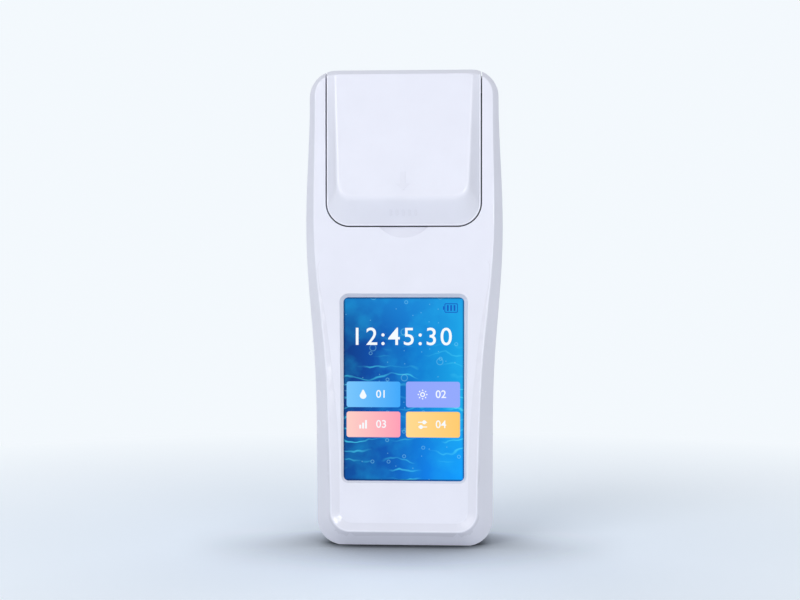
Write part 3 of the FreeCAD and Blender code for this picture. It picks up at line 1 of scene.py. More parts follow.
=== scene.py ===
"""Looks of the handheld water quality analyzer: finishes, lit screen, stage, lights and camera.

Metres. +Z is up, the screen faces -Y and +X is to the right seen from the front.
"""
import bpy
import json
import math
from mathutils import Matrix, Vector


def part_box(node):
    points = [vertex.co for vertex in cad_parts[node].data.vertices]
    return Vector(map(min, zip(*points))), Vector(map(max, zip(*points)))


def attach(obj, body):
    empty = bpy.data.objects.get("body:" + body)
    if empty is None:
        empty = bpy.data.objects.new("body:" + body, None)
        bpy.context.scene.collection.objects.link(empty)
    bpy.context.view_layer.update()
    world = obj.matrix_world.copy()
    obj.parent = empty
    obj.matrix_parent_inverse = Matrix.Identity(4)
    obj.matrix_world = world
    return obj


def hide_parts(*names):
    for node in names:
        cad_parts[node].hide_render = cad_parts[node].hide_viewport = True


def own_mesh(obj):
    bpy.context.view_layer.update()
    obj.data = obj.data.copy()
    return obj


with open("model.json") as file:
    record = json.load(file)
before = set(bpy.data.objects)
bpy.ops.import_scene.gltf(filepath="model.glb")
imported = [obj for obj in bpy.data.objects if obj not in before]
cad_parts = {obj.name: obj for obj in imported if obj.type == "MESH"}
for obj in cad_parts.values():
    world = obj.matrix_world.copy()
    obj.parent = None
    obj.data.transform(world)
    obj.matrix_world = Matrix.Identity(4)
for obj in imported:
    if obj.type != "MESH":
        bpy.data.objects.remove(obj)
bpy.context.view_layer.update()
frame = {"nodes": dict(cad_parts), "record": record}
nodes = frame["nodes"]

MM = 0.001

# Photograph's frame, in pixels
PHOTO_WIDTH = 800
PHOTO_HEIGHT = 600
HORIZON_ROW = 275.0
OBJECT_COLUMN = 403.5

# Camera
SENSOR = 36 * MM
FOCAL_PIXELS = 1574.0
CAMERA_DISTANCE = 633 * MM
CAMERA_HEIGHT = 110.3 * MM
CAMERA_AZIMUTH = math.radians(3.4)
CLIP_NEAR = 0.01
CLIP_FAR = 100

# Sharpest turn that is still shaded smooth, and how near points are welded
SMOOTH_ANGLE = math.radians(28)
WELD = 0.5e-6

# Painted shade on moulded relief: the arrow and the bars stand proud of the lid and the finger notch is sunk
# in the face; a face attribute paints their faces darker so that the relief shows in flat light
PAINTED_SHADE_ATTRIBUTE = "painted_shade"
PAINTED_SHADE_FACTOR = 0.80
MARK_PROUD = 0.1 * MM
MARK_HALF_WIDTH = 6 * MM
LID_PAINTED_SHADE = 0.13
LID_FOOT_Z = 130.1 * MM
HOOD_FOOT_Z = 141.1 * MM
RIDGE_TOP_Z = 191.0 * MM
HOOD_FOOT_RISE = 6.0 * MM
HOOD_TOP_RISE = 1.4 * MM
NOTCH_HALF_WIDTH = 10 * MM
NOTCH_Z = (124.5 * MM, 129.8 * MM)
NOTCH_SUNK = (0.02 * MM, 1.6 * MM)
NOTCH_PAINTED_SHADE = 0.30

# Sloping band round the sunk face panel, and the bevelled rim of the window, both painted darker as painted
# shade
BAND_TOP_Z = 119.4 * MM
BAND_FOOT_Z = 10.1 * MM
BAND_DEPTH = 1.0 * MM
BAND_SIDE = 0.01 * MM
BAND_PAINTED_SHADE = 0.34
RIM_HALF_WIDTH = 28 * MM
RIM_DEPTH = 2.5 * MM
RIM_PAINTED_SHADE = 0.42
FRONT_FACING = -0.2

# Washers that take up the lid's end play round its hinge pin
WASHER_X = 31.05 * MM
WASHER_THICKNESS = 0.4 * MM
WASHER_R = 4.9 * MM
WASHER_HOLE_R = 1.55 * MM
WASHER_SIDES = 64

# Lit screen: its margin behind the window's rim, and the thin layers that make its signs
WINDOW_MARGIN = 2.8 * MM
LAYER = 0.05 * MM
LAYER_SUNK = 0.02 * MM
SCREEN_ROUGHNESS = 0.16
SCREEN_SPECULAR = 0.05
DISC_SIDES = 32
CORNER_STEPS = 6

# Water picture on the screen: tones from left to right in its middle, at its top and at its foot
PICTURE_MIDDLE = ((0.02, "003A88"), (0.35, "0053B2"), (0.62, "007CD2"), (0.97, "10A6E9"))
PICTURE_TOP = ((0.02, "0E7CC6"), (0.5, "1484D6"), (0.97, "189CE4"))
PICTURE_FOOT = ((0.02, "004C9C"), (0.4, "005EBA"), (0.7, "007EE8"), (0.98, "009CFF"))
TOP_BLEND = (0.74, 1.0)
FOOT_BLEND = (0.02, 0.42)

# Soft clouds, thin wave lines and bubbles in the picture, with scales per millimetre
CLOUD_SCALE = 0.09
CLOUD_DETAIL = 3.0
CLOUD_EDGE = (0.45, 0.75)
CLOUD_STRENGTH = 0.25
CLOUD_TONE = "23C8FF"
WAVE_LINES = (("Scale", 0.075), ("Distortion", 7.5), ("Detail", 2.5), ("Detail Scale", 1.1))
WAVE_CREST = (0.90, 1.0)
WAVE_PATCH_SCALE = 0.055
WAVE_PATCH = (0.45, 0.62)
WAVE_ROOM = (0.55, 0.86)
WAVE_STRENGTH = 0.62
WAVE_TONE = "4FE2FF"
BUBBLE_TONE = "8FE8FF"

# Each size of bubble: cell, radius and rim in millimetres, share of the cells that hold one, and strength
SCREEN_BUBBLES = (
    (13.0, 1.25, 0.22, 0.22, 0.36),
    (7.0, 0.62, 0.20, 0.20, 0.42),
    (3.4, 0.0, 0.28, 0.14, 0.55),
)

# Dark border of the picture, which is the screen's black edge and painted shade from the window's rim, from
# its middle as shares of its width and height
BORDER_AND_SHADE_ACROSS = (0.482, 0.494)
BORDER_AND_SHADE_UP = (0.488, 0.496)
BORDER_AND_SHADE_STRENGTH = 0.75
BORDER_AND_SHADE_TONE = "0A2C5E"

# Clock and tiles on the screen, lengths in millimetres
CLOCK_TEXT = "12:45:30"
CLOCK_X = -0.9
CLOCK_Z = 85.1
CLOCK_HEIGHT = 10.0
CLOCK_WEIGHT = 0.05
CLOCK_SPACING = 1.19
TILE_WIDTH = 21.8
TILE_HEIGHT = 10.4
TILE_CORNER = 1.0
TILE_COLUMNS = (-12.3, 11.8)
TILE_ROWS = (62.05, 49.9)
LABEL_ASIDE = 3.2
LABEL_HEIGHT = 4.4
LABEL_WEIGHT = 0.03

# Signs on the tiles, in millimetres
ICON_ASIDE = 4.2
ICON_R = 1.9
SIGN_CORNER = 0.08

# Parts of the signs, lengths as shares of the sign's radius
DROP_R = 0.72
DROP_LOW = 0.25
DROP_TAPER = 0.35
DROP_TIP = 0.75
SUN_R = 0.52
SUN_HOLE_R = 0.3
SUN_RAYS = 8
RAY_PLACE = 0.9
RAY_R = 0.15
BAR_RISES = (0.8, 1.25, 1.8)
BAR_FOOT = 0.9
BAR_STEP = 0.62
BAR_WIDTH = 0.4
SLIDER_ROWS = ((0.5, 0.35), (-0.5, -0.35))
SLIDER_LENGTH = 1.9
SLIDER_WIDTH = 0.2
KNOB_R = 0.42
KNOB_LEVEL = 1.6

# Battery sign, lengths in millimetres
BATTERY_X = 19.1
BATTERY_Z = 97.0
BATTERY_WIDTH = 5.4
BATTERY_HEIGHT = 3.8
BATTERY_LINE = 0.35
BATTERY_CORNER = 0.5
BATTERY_HOLE_CORNER = 0.25
BATTERY_TIP_OUT = 0.35
BATTERY_TIP_WIDTH = 0.5
BATTERY_TIP_HEIGHT = 1.5
BATTERY_TIP_CORNER = 0.15
BATTERY_BARS = 3
BATTERY_BAR_STEP = 1.35
BATTERY_BAR_WIDTH = 0.75
BATTERY_BAR_CORNER = 0.12
CUTTER_STRETCH = 60


def select_only(piece):
    """Makes one piece the only selected and the active one."""
    bpy.ops.object.select_all(action="DESELECT")
    piece.select_set(True)
    bpy.context.view_layer.objects.active = piece


def apply_place(piece):
    """Puts a piece's place, turn and size into its mesh."""
    select_only(piece)
    bpy.ops.object.transform_apply(location=True, rotation=True, scale=True)


def edit_all(piece):
    """Opens a piece's mesh with everything selected."""
    select_only(piece)
    bpy.ops.object.mode_set(mode="EDIT")
    bpy.ops.mesh.select_all(action="SELECT")


def cut_hole(piece, rim):
    """Opens the middle of a flat outline and leaves a rim of the given width."""
    edit_all(piece)
    bpy.ops.mesh.inset(thickness=rim)
    bpy.ops.mesh.delete(type="FACE")
    bpy.ops.object.mode_set(mode="OBJECT")


def give_thickness(piece, offset):
    """Turns a flat outline into a closed plate by extruding it along an offset."""
    edit_all(piece)
    bpy.ops.mesh.extrude_region_move(TRANSFORM_OT_translate={"value": offset})
    bpy.ops.mesh.select_all(action="SELECT")
    bpy.ops.mesh.normals_make_consistent(inside=False)
    bpy.ops.object.mode_set(mode="OBJECT")


def shade_round(piece):
    """Smooth shading with crisp edges, where broad faces keep their own direction."""
    select_only(piece)
    bpy.ops.object.shade_smooth_by_angle(angle=SMOOTH_ANGLE)
    weight = piece.modifiers.new("weight", "WEIGHTED_NORMAL")
    weight.keep_sharp = True
    bpy.ops.object.modifier_apply(modifier=weight.name)


def finish_piece(piece, name, body, finish):
    """Names a piece, gives it its finish and makes it ride on its body."""
    piece.name = name
    piece.data.name = name
    piece.data.materials.clear()
    piece.data.materials.append(finish)
    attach(piece, body)
    return piece


# Material helpers

PLASTIC_GRAIN = 0.35 * MM
PLASTIC_FLOW = 60 * PLASTIC_GRAIN
PLASTIC_SPECULAR = 0.45
COAT_ROUGHNESS = 0.16
METAL_GRAIN = 0.12 * MM
METAL_RELIEF = 0.002 * MM
RUBBER_SPECULAR = 0.3
BOARD_ROUGHNESS = 0.38
BOARD_WEAVE = 2.2 * MM
BOARD_WEAVE_BEND = 0.6
BOARD_GRAIN = 0.6 * MM
BOARD_PATCH = 9 * MM
BOARD_RELIEF = 0.01 * MM
BOARD_RELIEF_STRENGTH = 0.5
COPPER_SHADE = 1.8
FILTER_ROUGHNESS = 0.08
FILTER_CLOUD = 6 * MM
FILTER_ALPHA = 0.6


def tone(code):
    """Linear colour of a six-figure screen colour code."""
    parts = [int(code[place:place + 2], 16) / 255 for place in (0, 2, 4)]
    return tuple(((part + 0.055) / 1.055) ** 2.4 if part > 0.04045 else part / 12.92 for part in parts)


def toned(stops):
    """Stops of a ramp, with their codes turned into colours."""
    return [(place, tone(code)) for place, code in stops]


def shade_of(colour, factor):
    """A colour made lighter or darker."""
    return tuple(min(1.0, channel * factor) for channel in colour)


class Recipe:
    """A material's node tree, with short calls for the nodes that the finishes share."""

    def __init__(self, name, colour, roughness, metallic=0.0):
        self.material = bpy.data.materials.new(name)
        self.material.use_nodes = True
        self.tree = self.material.node_tree
        self.shader = self.tree.nodes["Principled BSDF"]
        self.shader.inputs["Base Color"].default_value = (*colour, 1)
        self.shader.inputs["Roughness"].default_value = roughness
        self.shader.inputs["Metallic"].default_value = metallic
        self.material.diffuse_color = (*colour, 1)
        self.place = self.node("ShaderNodeTexCoord").outputs["Object"]

    def node(self, kind, **settings):
        made = self.tree.nodes.new(kind)
        for key, value in settings.items():
            setattr(made, key, value)
        return made

    def link(self, source, target):
        self.tree.links.new(source, target)

    def set(self, socket, value):
        self.shader.inputs[socket].default_value = value

    def colour_from(self, source):
        self.link(source, self.shader.inputs["Base Color"])

    def placed(self, location, scale):
        """Object coordinates from 0 at location to 1 at location plus scale."""
        mapping = self.node("ShaderNodeMapping", vector_type="TEXTURE")
        mapping.inputs["Location"].default_value = location
        mapping.inputs["Scale"].default_value = scale
        self.link(self.place, mapping.inputs["Vector"])
        return mapping.outputs["Vector"]

    def stretched(self, scale):
        """Object coordinates, stretched along the axes."""
        mapping = self.node("ShaderNodeMapping")
        mapping.inputs["Scale"].default_value = scale
        self.link(self.place, mapping.inputs["Vector"])
        return mapping.outputs["Vector"]

    def axes(self, vector):
        """The three parts of a vector."""
        split = self.node("ShaderNodeSeparateXYZ")
        self.link(vector, split.inputs["Vector"])
        return split.outputs["X"], split.outputs["Y"], split.outputs["Z"]

    def noise(self, size, detail=2.0, stretch=None):
        """Noise whose grains are about size metres wide."""
        made = self.node("ShaderNodeTexNoise")
        made.inputs["Scale"].default_value = 1 / size
        made.inputs["Detail"].default_value = detail
        self.link(self.stretched(stretch) if stretch else self.place, made.inputs["Vector"])
        return made.outputs["Fac"]

    def spread(self, source, low, high, start=0.3, end=0.7):
        """Source from start to end, mapped to low to high."""
        made = self.node("ShaderNodeMapRange")
        self.link(source, made.inputs["Value"])
        for key, value in (("From Min", start), ("From Max", end), ("To Min", low), ("To Max", high)):
            made.inputs[key].default_value = value
        return made.outputs["Result"]

    def maths(self, kind, a, b):
        """One sum on two values, of which the second may be a number."""
        made = self.node("ShaderNodeMath", operation=kind)
        self.link(a, made.inputs[0])
        if isinstance(b, (int, float)):
            made.inputs[1].default_value = b
        else:
            self.link(b, made.inputs[1])
        return made.outputs[0]

    def ramp(self, source, stops):
        """Colour ramp through (place, colour) stops."""
        made = self.node("ShaderNodeValToRGB")
        row = made.color_ramp.elements
        row[0].position, row[0].color = stops[0][0], (*stops[0][1], 1)
        row[1].position, row[1].color = stops[-1][0], (*stops[-1][1], 1)
        for at, colour in stops[1:-1]:
            row.new(at).color = (*colour, 1)
        self.link(source, made.inputs["Fac"])
        return made.outputs["Color"]

    def mottled(self, source, colour, dark, light, start=0.3, end=0.7):
        """A colour that runs from darker to lighter with a source."""
        return self.ramp(source, ((start, shade_of(colour, dark)), (end, shade_of(colour, light))))

    def gloss_from(self, source, roughness, less, more):
        """Roughness that varies with a source."""
        self.link(self.spread(source, roughness - less, roughness + more), self.shader.inputs["Roughness"])

    def mix(self, factor, a, b):
        """Blend of two colours, each a socket or a plain colour."""
        made = self.node("ShaderNodeMix", data_type="RGBA")
        self.link(factor, made.inputs[0])
        for socket, source in ((made.inputs[6], a), (made.inputs[7], b)):
            if isinstance(source, tuple):
                socket.default_value = (*source, 1)
            else:
                self.link(source, socket)
        return made.outputs[2]

    def bump(self, height, depth, strength=1.0):
        """Surface relief of about depth metres."""
        made = self.node("ShaderNodeBump")
        made.inputs["Strength"].default_value = strength
        made.inputs["Distance"].default_value = depth
        self.link(height, made.inputs["Height"])
        self.link(made.outputs["Normal"], self.shader.inputs["Normal"])


def moulded(name, colour, roughness, relief=0.004 * MM, mottle=0.02, coat=0.0, with_painted_shade=False):
    """Moulded plastic: fine spark texture, slight flow mottle and uneven gloss, with painted shade on the
    faces that a face attribute names.
    """
    made = Recipe(name, colour, roughness)
    plain = made.mottled(made.noise(PLASTIC_FLOW, 3.0), colour, dark=1 - mottle, light=1 + mottle)
    # Painted shade: faces that the attribute names are darkened.
    if with_painted_shade:
        painted_shade = made.node("ShaderNodeAttribute", attribute_name=PAINTED_SHADE_ATTRIBUTE).outputs["Fac"]
        plain = made.mix(painted_shade, plain, shade_of(colour, PAINTED_SHADE_FACTOR))
    made.colour_from(plain)
    fine = made.noise(PLASTIC_GRAIN)
    made.gloss_from(fine, roughness, less=0.05, more=0.05)
    made.bump(fine, relief)
    made.set("Specular IOR Level", PLASTIC_SPECULAR)
    made.set("Coat Weight", coat)
    made.set("Coat Roughness", COAT_ROUGHNESS)
    return made.material


def metal(name, colour, roughness, stretch):
    """Drawn or turned metal with fine lines along one axis."""
    made = Recipe(name, colour, roughness, metallic=1.0)
    lines = made.noise(METAL_GRAIN, stretch=stretch)
    made.colour_from(made.mottled(lines, colour, dark=0.88, light=1.06))
    made.gloss_from(lines, roughness, less=0.08, more=0.1)
    made.bump(lines, METAL_RELIEF)
    return made.material


def rubbery(name, colour, roughness=0.75, grain=0.5 * MM, relief=0.03 * MM):
    """Foam or soft rubber with open fine pores."""
    made = Recipe(name, colour, roughness)
    pores = made.noise(grain, detail=4.0)
    made.colour_from(made.mottled(pores, colour, dark=0.7, light=1.25, start=0.35, end=0.65))
    made.gloss_from(pores, roughness, less=0.1, more=0.1)
    made.bump(pores, relief)
    made.set("Specular IOR Level", RUBBER_SPECULAR)
    return made.material


def laminate(name, colour):
    """Circuit board: solder mask over a glass weave, with copper runs that show through."""
    made = Recipe(name, colour, BOARD_ROUGHNESS)
    weave = made.node("ShaderNodeTexWave", wave_type="BANDS", bands_direction="Z")
    weave.inputs["Scale"].default_value = 1 / BOARD_WEAVE
    weave.inputs["Distortion"].default_value = BOARD_WEAVE_BEND
    made.link(made.place, weave.inputs["Vector"])
    runs = made.mottled(weave.outputs["Fac"], colour, dark=1, light=COPPER_SHADE, start=0.55, end=0.62)
    plain = made.mottled(made.noise(BOARD_GRAIN, 1.0), colour, dark=0.85, light=1.1)
    patches = made.spread(made.noise(BOARD_PATCH, 1.0), 0, 1, start=0.48, end=0.52)
    made.colour_from(made.mix(patches, plain, runs))
    made.bump(weave.outputs["Fac"], BOARD_RELIEF, BOARD_RELIEF_STRENGTH)
    return made.material


def filter_glass():
    """Coated filter: clear amber glass whose tint shifts over its face."""
    made = Recipe("filter_coating", (0.85, 0.62, 0.22), FILTER_ROUGHNESS)
    tints = ((0.3, (0.8, 0.5, 0.15)), (0.7, (0.9, 0.72, 0.35)))
    made.colour_from(made.ramp(made.noise(FILTER_CLOUD, 1.0), tints))
    made.set("Alpha", FILTER_ALPHA)
    return made.material


# Lit screen


def shine(made, picture):
    """Makes a picture give its own light through the glass, as a backlit screen does."""
    made.set("Base Color", (0.004, 0.005, 0.006, 1))
    made.link(picture, made.shader.inputs["Emission Color"])
    made.set("Emission Strength", 1.0)
    made.set("Specular IOR Level", SCREEN_SPECULAR)
    return made.material


def screen_waves(made, flat, up):
    """How strongly thin lines of flowing water show: most in the middle and the lower part."""
    wave = made.node("ShaderNodeTexWave", wave_type="BANDS", bands_direction="Y")
    for key, value in WAVE_LINES:
        wave.inputs[key].default_value = value
    made.link(flat, wave.inputs["Vector"])
    line = made.spread(wave.outputs["Fac"], 0, 1, *WAVE_CREST)
    patch = made.node("ShaderNodeTexNoise")
    patch.inputs["Scale"].default_value = WAVE_PATCH_SCALE
    made.link(flat, patch.inputs["Vector"])
    shown = made.maths("MULTIPLY", line, made.spread(patch.outputs["Fac"], 0, 1, *WAVE_PATCH))
    return made.maths("MULTIPLY", shown, made.spread(up, 1, 0, *WAVE_ROOM))


def screen_bubbles(made, flat, cell, radius, rim, share):
    """How strongly bubbles show: a ring in some of the cells, or a dot where the radius is 0."""
    cells = made.node("ShaderNodeTexVoronoi", voronoi_dimensions="2D")
    cells.inputs["Scale"].default_value = 1 / cell
    made.link(flat, cells.inputs["Vector"])
    pick = made.axes(cells.outputs["Color"])[0]
    near = made.maths("SUBTRACT", cells.outputs["Distance"], radius / cell)
    ring = made.spread(made.maths("ABSOLUTE", near, 0), 1, 0, 0, rim / cell)
    return made.maths("MULTIPLY", ring, made.maths("LESS_THAN", pick, share))


def screen_picture():
    """Deep blue water picture that turns brighter to the right, with waves, bubbles and a dark border that
    is the screen's black edge and painted shade from the window's rim.
    """
    made = Recipe("screen_picture", (0.01, 0.14, 0.5), SCREEN_ROUGHNESS)
    low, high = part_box("screen_glass")
    margin = Vector((WINDOW_MARGIN, 0, WINDOW_MARGIN))
    low, high = low + margin, high - margin
    across, _, up = made.axes(made.placed(low, high - low))
    middle = made.ramp(across, toned(PICTURE_MIDDLE))
    top = made.ramp(across, toned(PICTURE_TOP))
    foot = made.ramp(across, toned(PICTURE_FOOT))
    base = made.mix(made.spread(up, 0, 1, *TOP_BLEND), middle, top)
    base = made.mix(made.spread(up, 1, 0, *FOOT_BLEND), base, foot)
    join = made.node("ShaderNodeCombineXYZ")
    x, _, z = made.axes(made.placed((0, 0, 0), (MM, MM, MM)))
    made.link(x, join.inputs["X"])
    made.link(z, join.inputs["Y"])
    flat = join.outputs["Vector"]
    cloud = made.node("ShaderNodeTexNoise")
    cloud.inputs["Scale"].default_value = CLOUD_SCALE
    cloud.inputs["Detail"].default_value = CLOUD_DETAIL
    made.link(flat, cloud.inputs["Vector"])
    haze = made.spread(cloud.outputs["Fac"], 0, CLOUD_STRENGTH, *CLOUD_EDGE)
    base = made.mix(haze, base, tone(CLOUD_TONE))
    waves = made.maths("MULTIPLY", screen_waves(made, flat, up), WAVE_STRENGTH)
    base = made.mix(waves, base, tone(WAVE_TONE))
    for cell, radius, rim, share, strength in SCREEN_BUBBLES:
        rings = screen_bubbles(made, flat, cell, radius, rim, share)
        base = made.mix(made.maths("MULTIPLY", rings, strength), base, tone(BUBBLE_TONE))
    # Painted shade: the dark border also stands in for the shade that the window's rim casts on the picture.
    edge_x = made.maths("ABSOLUTE", made.maths("SUBTRACT", across, 0.5), 0)
    edge_z = made.maths("ABSOLUTE", made.maths("SUBTRACT", up, 0.5), 0)
    border_and_shade = made.maths(
        "MAXIMUM", made.spread(edge_x, 0, 1, *BORDER_AND_SHADE_ACROSS), made.spread(edge_z, 0, 1, *BORDER_AND_SHADE_UP))
    return shine(made, made.mix(made.maths("MULTIPLY", border_and_shade, BORDER_AND_SHADE_STRENGTH), base, tone(BORDER_AND_SHADE_TONE)))


def screen_ink(name, left, right, x_left=-1.0, x_right=1.0):
    """Even colour on the screen, which may run from one tone to another across a tile."""
    made = Recipe(name, left, SCREEN_ROUGHNESS)
    across = made.axes(made.placed((x_left, 0, 0), (x_right - x_left, 1, 1)))[0]
    return shine(made, made.ramp(across, ((0.0, left), (1.0, right))))


# Finishes, one for each slot of the record

LID_WHITE = (0.798, 0.804, 0.900)
CASE_WHITE = (0.788, 0.794, 0.890)

FINISHES = {
    # The case and the lid take painted shade on the faces that the attribute names.
    "case_white": moulded("satin_case_white", CASE_WHITE, 0.42, coat=0.6, with_painted_shade=True),
    "lid_white": moulded("satin_lid_white", LID_WHITE, 0.40, coat=0.6, with_painted_shade=True),
    "seal_grey": rubbery("silicone_seal", (0.22, 0.23, 0.25), 0.55, 0.8 * MM, 0.01 * MM),
    "lining_dark": moulded("lining_black", (0.035, 0.037, 0.042), 0.55, relief=0.012 * MM, mottle=0.1),
    "foam_black": rubbery("foam_black", (0.022, 0.022, 0.024)),
    "screw_steel": metal("screw_zinc", (0.58, 0.59, 0.61), 0.32, (1, 1, 6)),
    "latch_grey": moulded("latch_acetal", (0.15, 0.16, 0.17), 0.45),
    "plunger_grey": moulded("plunger_acetal", (0.42, 0.44, 0.48), 0.38),
    "pin_steel": metal("pin_ground_steel", (0.62, 0.63, 0.65), 0.22, (8, 1, 1)),
    "spring_steel": metal("spring_wire", (0.45, 0.46, 0.48), 0.3, (6, 1, 1)),
    "deck_dark": moulded("deck_black", (0.045, 0.047, 0.053), 0.5, relief=0.01 * MM, mottle=0.1),
    "holder_black": moulded("holder_dead_black", (0.016, 0.016, 0.018), 0.8, relief=0.02 * MM, mottle=0.1),
    "filter_glass": filter_glass(),
    "lamp_clear": moulded("lamp_lens", (0.86, 0.88, 0.92), 0.12),
    "detector_black": moulded("detector_package", (0.03, 0.03, 0.035), 0.2),
    "board_green": laminate("board_green", (0.018, 0.15, 0.075)),
    "screen_face": screen_picture(),
    "lcd_dark": moulded("lcd_polariser", (0.03, 0.035, 0.05), 0.18),
    "backlight_white": moulded("backlight_tray", (0.82, 0.84, 0.85), 0.35),
    "frame_black": moulded("frame_glass_filled", (0.04, 0.04, 0.045), 0.6, relief=0.015 * MM, mottle=0.15),
    "ribbon_amber": moulded("ribbon_polyimide", (0.55, 0.27, 0.05), 0.25, mottle=0.08),
    "shield_tin": metal("shield_tinplate", (0.66, 0.67, 0.66), 0.35, (1, 1, 4)),
    "chip_black": moulded("chip_package", (0.025, 0.025, 0.028), 0.5, relief=0.008 * MM, mottle=0.12),
    "socket_steel": metal("socket_stainless", (0.60, 0.61, 0.63), 0.25, (5, 1, 1)),
    "tongue_black": moulded("tongue_carrier", (0.03, 0.03, 0.03), 0.5),
    "button_grey": rubbery("button_soft_touch", (0.28, 0.33, 0.42), 0.6, 0.4 * MM, 0.006 * MM),
    "cell_wrap": moulded("cell_shrink_wrap", (0.05, 0.2, 0.4), 0.25, mottle=0.06),
    "contact_nickel": metal("contact_nickel", (0.64, 0.62, 0.57), 0.3, (1, 1, 5)),
    "insert_brass": metal("insert_brass", (0.72, 0.53, 0.22), 0.3, (1, 6, 1)),
    "pad_rubber": rubbery("pad_rubber", (0.10, 0.105, 0.115), 0.7, 0.7 * MM, 0.015 * MM),
}

SCREEN_WHITE = screen_ink("screen_white", tone("F6FBFF"), tone("F6FBFF"))
SCREEN_NAVY = screen_ink("screen_navy", tone("0D5FC4"), tone("0D5FC4"))


# Pieces from the model


body_of_node = {}
for body, members in frame["record"]["behaviour"]["bodies"].items():
    for member in members:
        body_of_node[member] = body
slot_of_node = {row["node"]: row["material_slot"] for row in frame["record"]["subparts"]}

for node, shown in nodes.items():
    shown.data.materials.clear()
    shown.data.materials.append(FINISHES[slot_of_node[node]])


def dressed(node):
    """Welded copy of a rigid node with smooth curves and crisp edges, shown in its place."""
    piece = bpy.data.objects.new(node + "_skin", nodes[node].data.copy())
    bpy.context.scene.collection.objects.link(piece)
    edit_all(piece)
    bpy.ops.mesh.customdata_custom_splitnormals_clear()
    bpy.ops.mesh.remove_doubles(threshold=WELD)
    bpy.ops.object.mode_set(mode="OBJECT")
    shade_round(piece)
    slot = slot_of_node[node]
    finish_piece(piece, node + "_skin", body_of_node[node], FINISHES[slot])
    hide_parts(node)
    return piece


dressed_pieces = {node: dressed(node) for node in sorted(nodes)}
FACE_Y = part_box("front_shell")[0].y


def lid_front(height):
    """Place along Y of the lid's sloping front, without its marks, at a height."""
    if height < HOOD_FOOT_Z:
        share = (height - LID_FOOT_Z) / (HOOD_FOOT_Z - LID_FOOT_Z)
        return FACE_Y - share * HOOD_FOOT_RISE
    share = (height - HOOD_FOOT_Z) / (RIDGE_TOP_Z - HOOD_FOOT_Z)
    return FACE_Y - HOOD_FOOT_RISE - share * (HOOD_TOP_RISE - HOOD_FOOT_RISE)


def lid_painted_shade(face):
    """How dark a face of the lid is, as painted shade: the arrow and the bars that stand proud of its front,
    near the middle, are painted darker.
    """
    place = face.center
    near = abs(place.x) < MARK_HALF_WIDTH and LID_FOOT_Z < place.z < RIDGE_TOP_Z
    return LID_PAINTED_SHADE if near and place.y < lid_front(place.z) - MARK_PROUD else 0.0


def front_painted_shade(face):
    """How dark a face of the front shell is, as painted shade: the notch, the band round the face panel and
    the rim of the window are painted darker.
    """
    place = face.center
    sunk = place.y - FACE_Y
    panel = BAND_DEPTH * (BAND_TOP_Z - place.z) / (BAND_TOP_Z - BAND_FOOT_Z)
    if abs(place.x) < NOTCH_HALF_WIDTH and NOTCH_Z[0] < place.z < NOTCH_Z[1]:
        return NOTCH_PAINTED_SHADE if NOTCH_SUNK[0] < sunk < NOTCH_SUNK[1] else 0.0
    if place.z > BAND_TOP_Z or face.normal.y > FRONT_FACING:
        return 0.0
    if BAND_SIDE < sunk < panel - BAND_SIDE:
        return BAND_PAINTED_SHADE
    if abs(place.x) < RIM_HALF_WIDTH and panel + BAND_SIDE < sunk < RIM_DEPTH:
        return RIM_PAINTED_SHADE
    return 0.0


def paint_shade_on_faces(node, amount_of):
    """Records how strongly each of a piece's faces takes the darker tone of painted shade."""
    shape = dressed_pieces[node].data
    painted_shade = shape.attributes.new(PAINTED_SHADE_ATTRIBUTE, "FLOAT", "CORNER")
    for face in shape.polygons:
        amount = amount_of(face)
        for corner in face.loop_indices:
            painted_shade.data[corner].value = amount


# Painted shade on the lid's raised arrow and bars, and on the front shell's notch, band and window rim.
paint_shade_on_faces("lid_cover", lid_painted_shade)
paint_shade_on_faces("front_shell", front_painted_shade)


def hinge_washer(name, side):
    """Thin washer round the hinge pin, between the lid's barrel and the wall of its bay."""
    low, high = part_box("hinge_pin")
    middle = (low + high) / 2
    bpy.ops.object.select_all(action="DESELECT")
    bpy.ops.mesh.primitive_circle_add(
        vertices=WASHER_SIDES, radius=WASHER_R, fill_type="NGON", rotation=(0, math.pi / 2, 0),
        location=(side * WASHER_X, middle.y, middle.z))
    piece = bpy.context.object
    apply_place(piece)
    cut_hole(piece, WASHER_R - WASHER_HOLE_R)
    give_thickness(piece, (side * WASHER_THICKNESS, 0, 0))
    shade_round(piece)
    finish_piece(piece, name, "case", FINISHES["latch_grey"])


for name, side in (("hinge_washer_left", -1), ("hinge_washer_right", 1)):
    hinge_washer(name, side)


latch_spring = dressed_pieces["latch_spring"]
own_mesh(latch_spring)


# What the lit screen shows

GLASS_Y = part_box("screen_glass")[0].y


def layer_y(level):
    """Back of a screen layer: level 0 is a hair sunk in the glass, level 1 as much in a tile."""
    return GLASS_Y + LAYER_SUNK - level * LAYER


def on_screen(piece, name, finish):
    """Finishes a piece of the screen's picture."""
    finish_piece(piece, name, "case", finish)


def thicken(piece, level):
    """Turns a flat outline in the XZ plane into a closed layer of the screen."""
    give_thickness(piece, (0, -LAYER, 0))
    piece.location.y = layer_y(level)
    apply_place(piece)
    return piece


def slab(x, z, width, height, corner, level):
    """Rounded rectangle on the screen, given in millimetres."""
    bpy.ops.object.select_all(action="DESELECT")
    bpy.ops.mesh.primitive_plane_add(size=1, location=(x * MM, 0, z * MM), rotation=(math.pi / 2, 0, 0))
    piece = bpy.context.object
    piece.scale = (width * MM, height * MM, 1)
    apply_place(piece)
    edit_all(piece)
    bpy.ops.mesh.bevel(offset=corner * MM, segments=CORNER_STEPS, affect="VERTICES")
    bpy.ops.object.mode_set(mode="OBJECT")
    return thicken(piece, level)


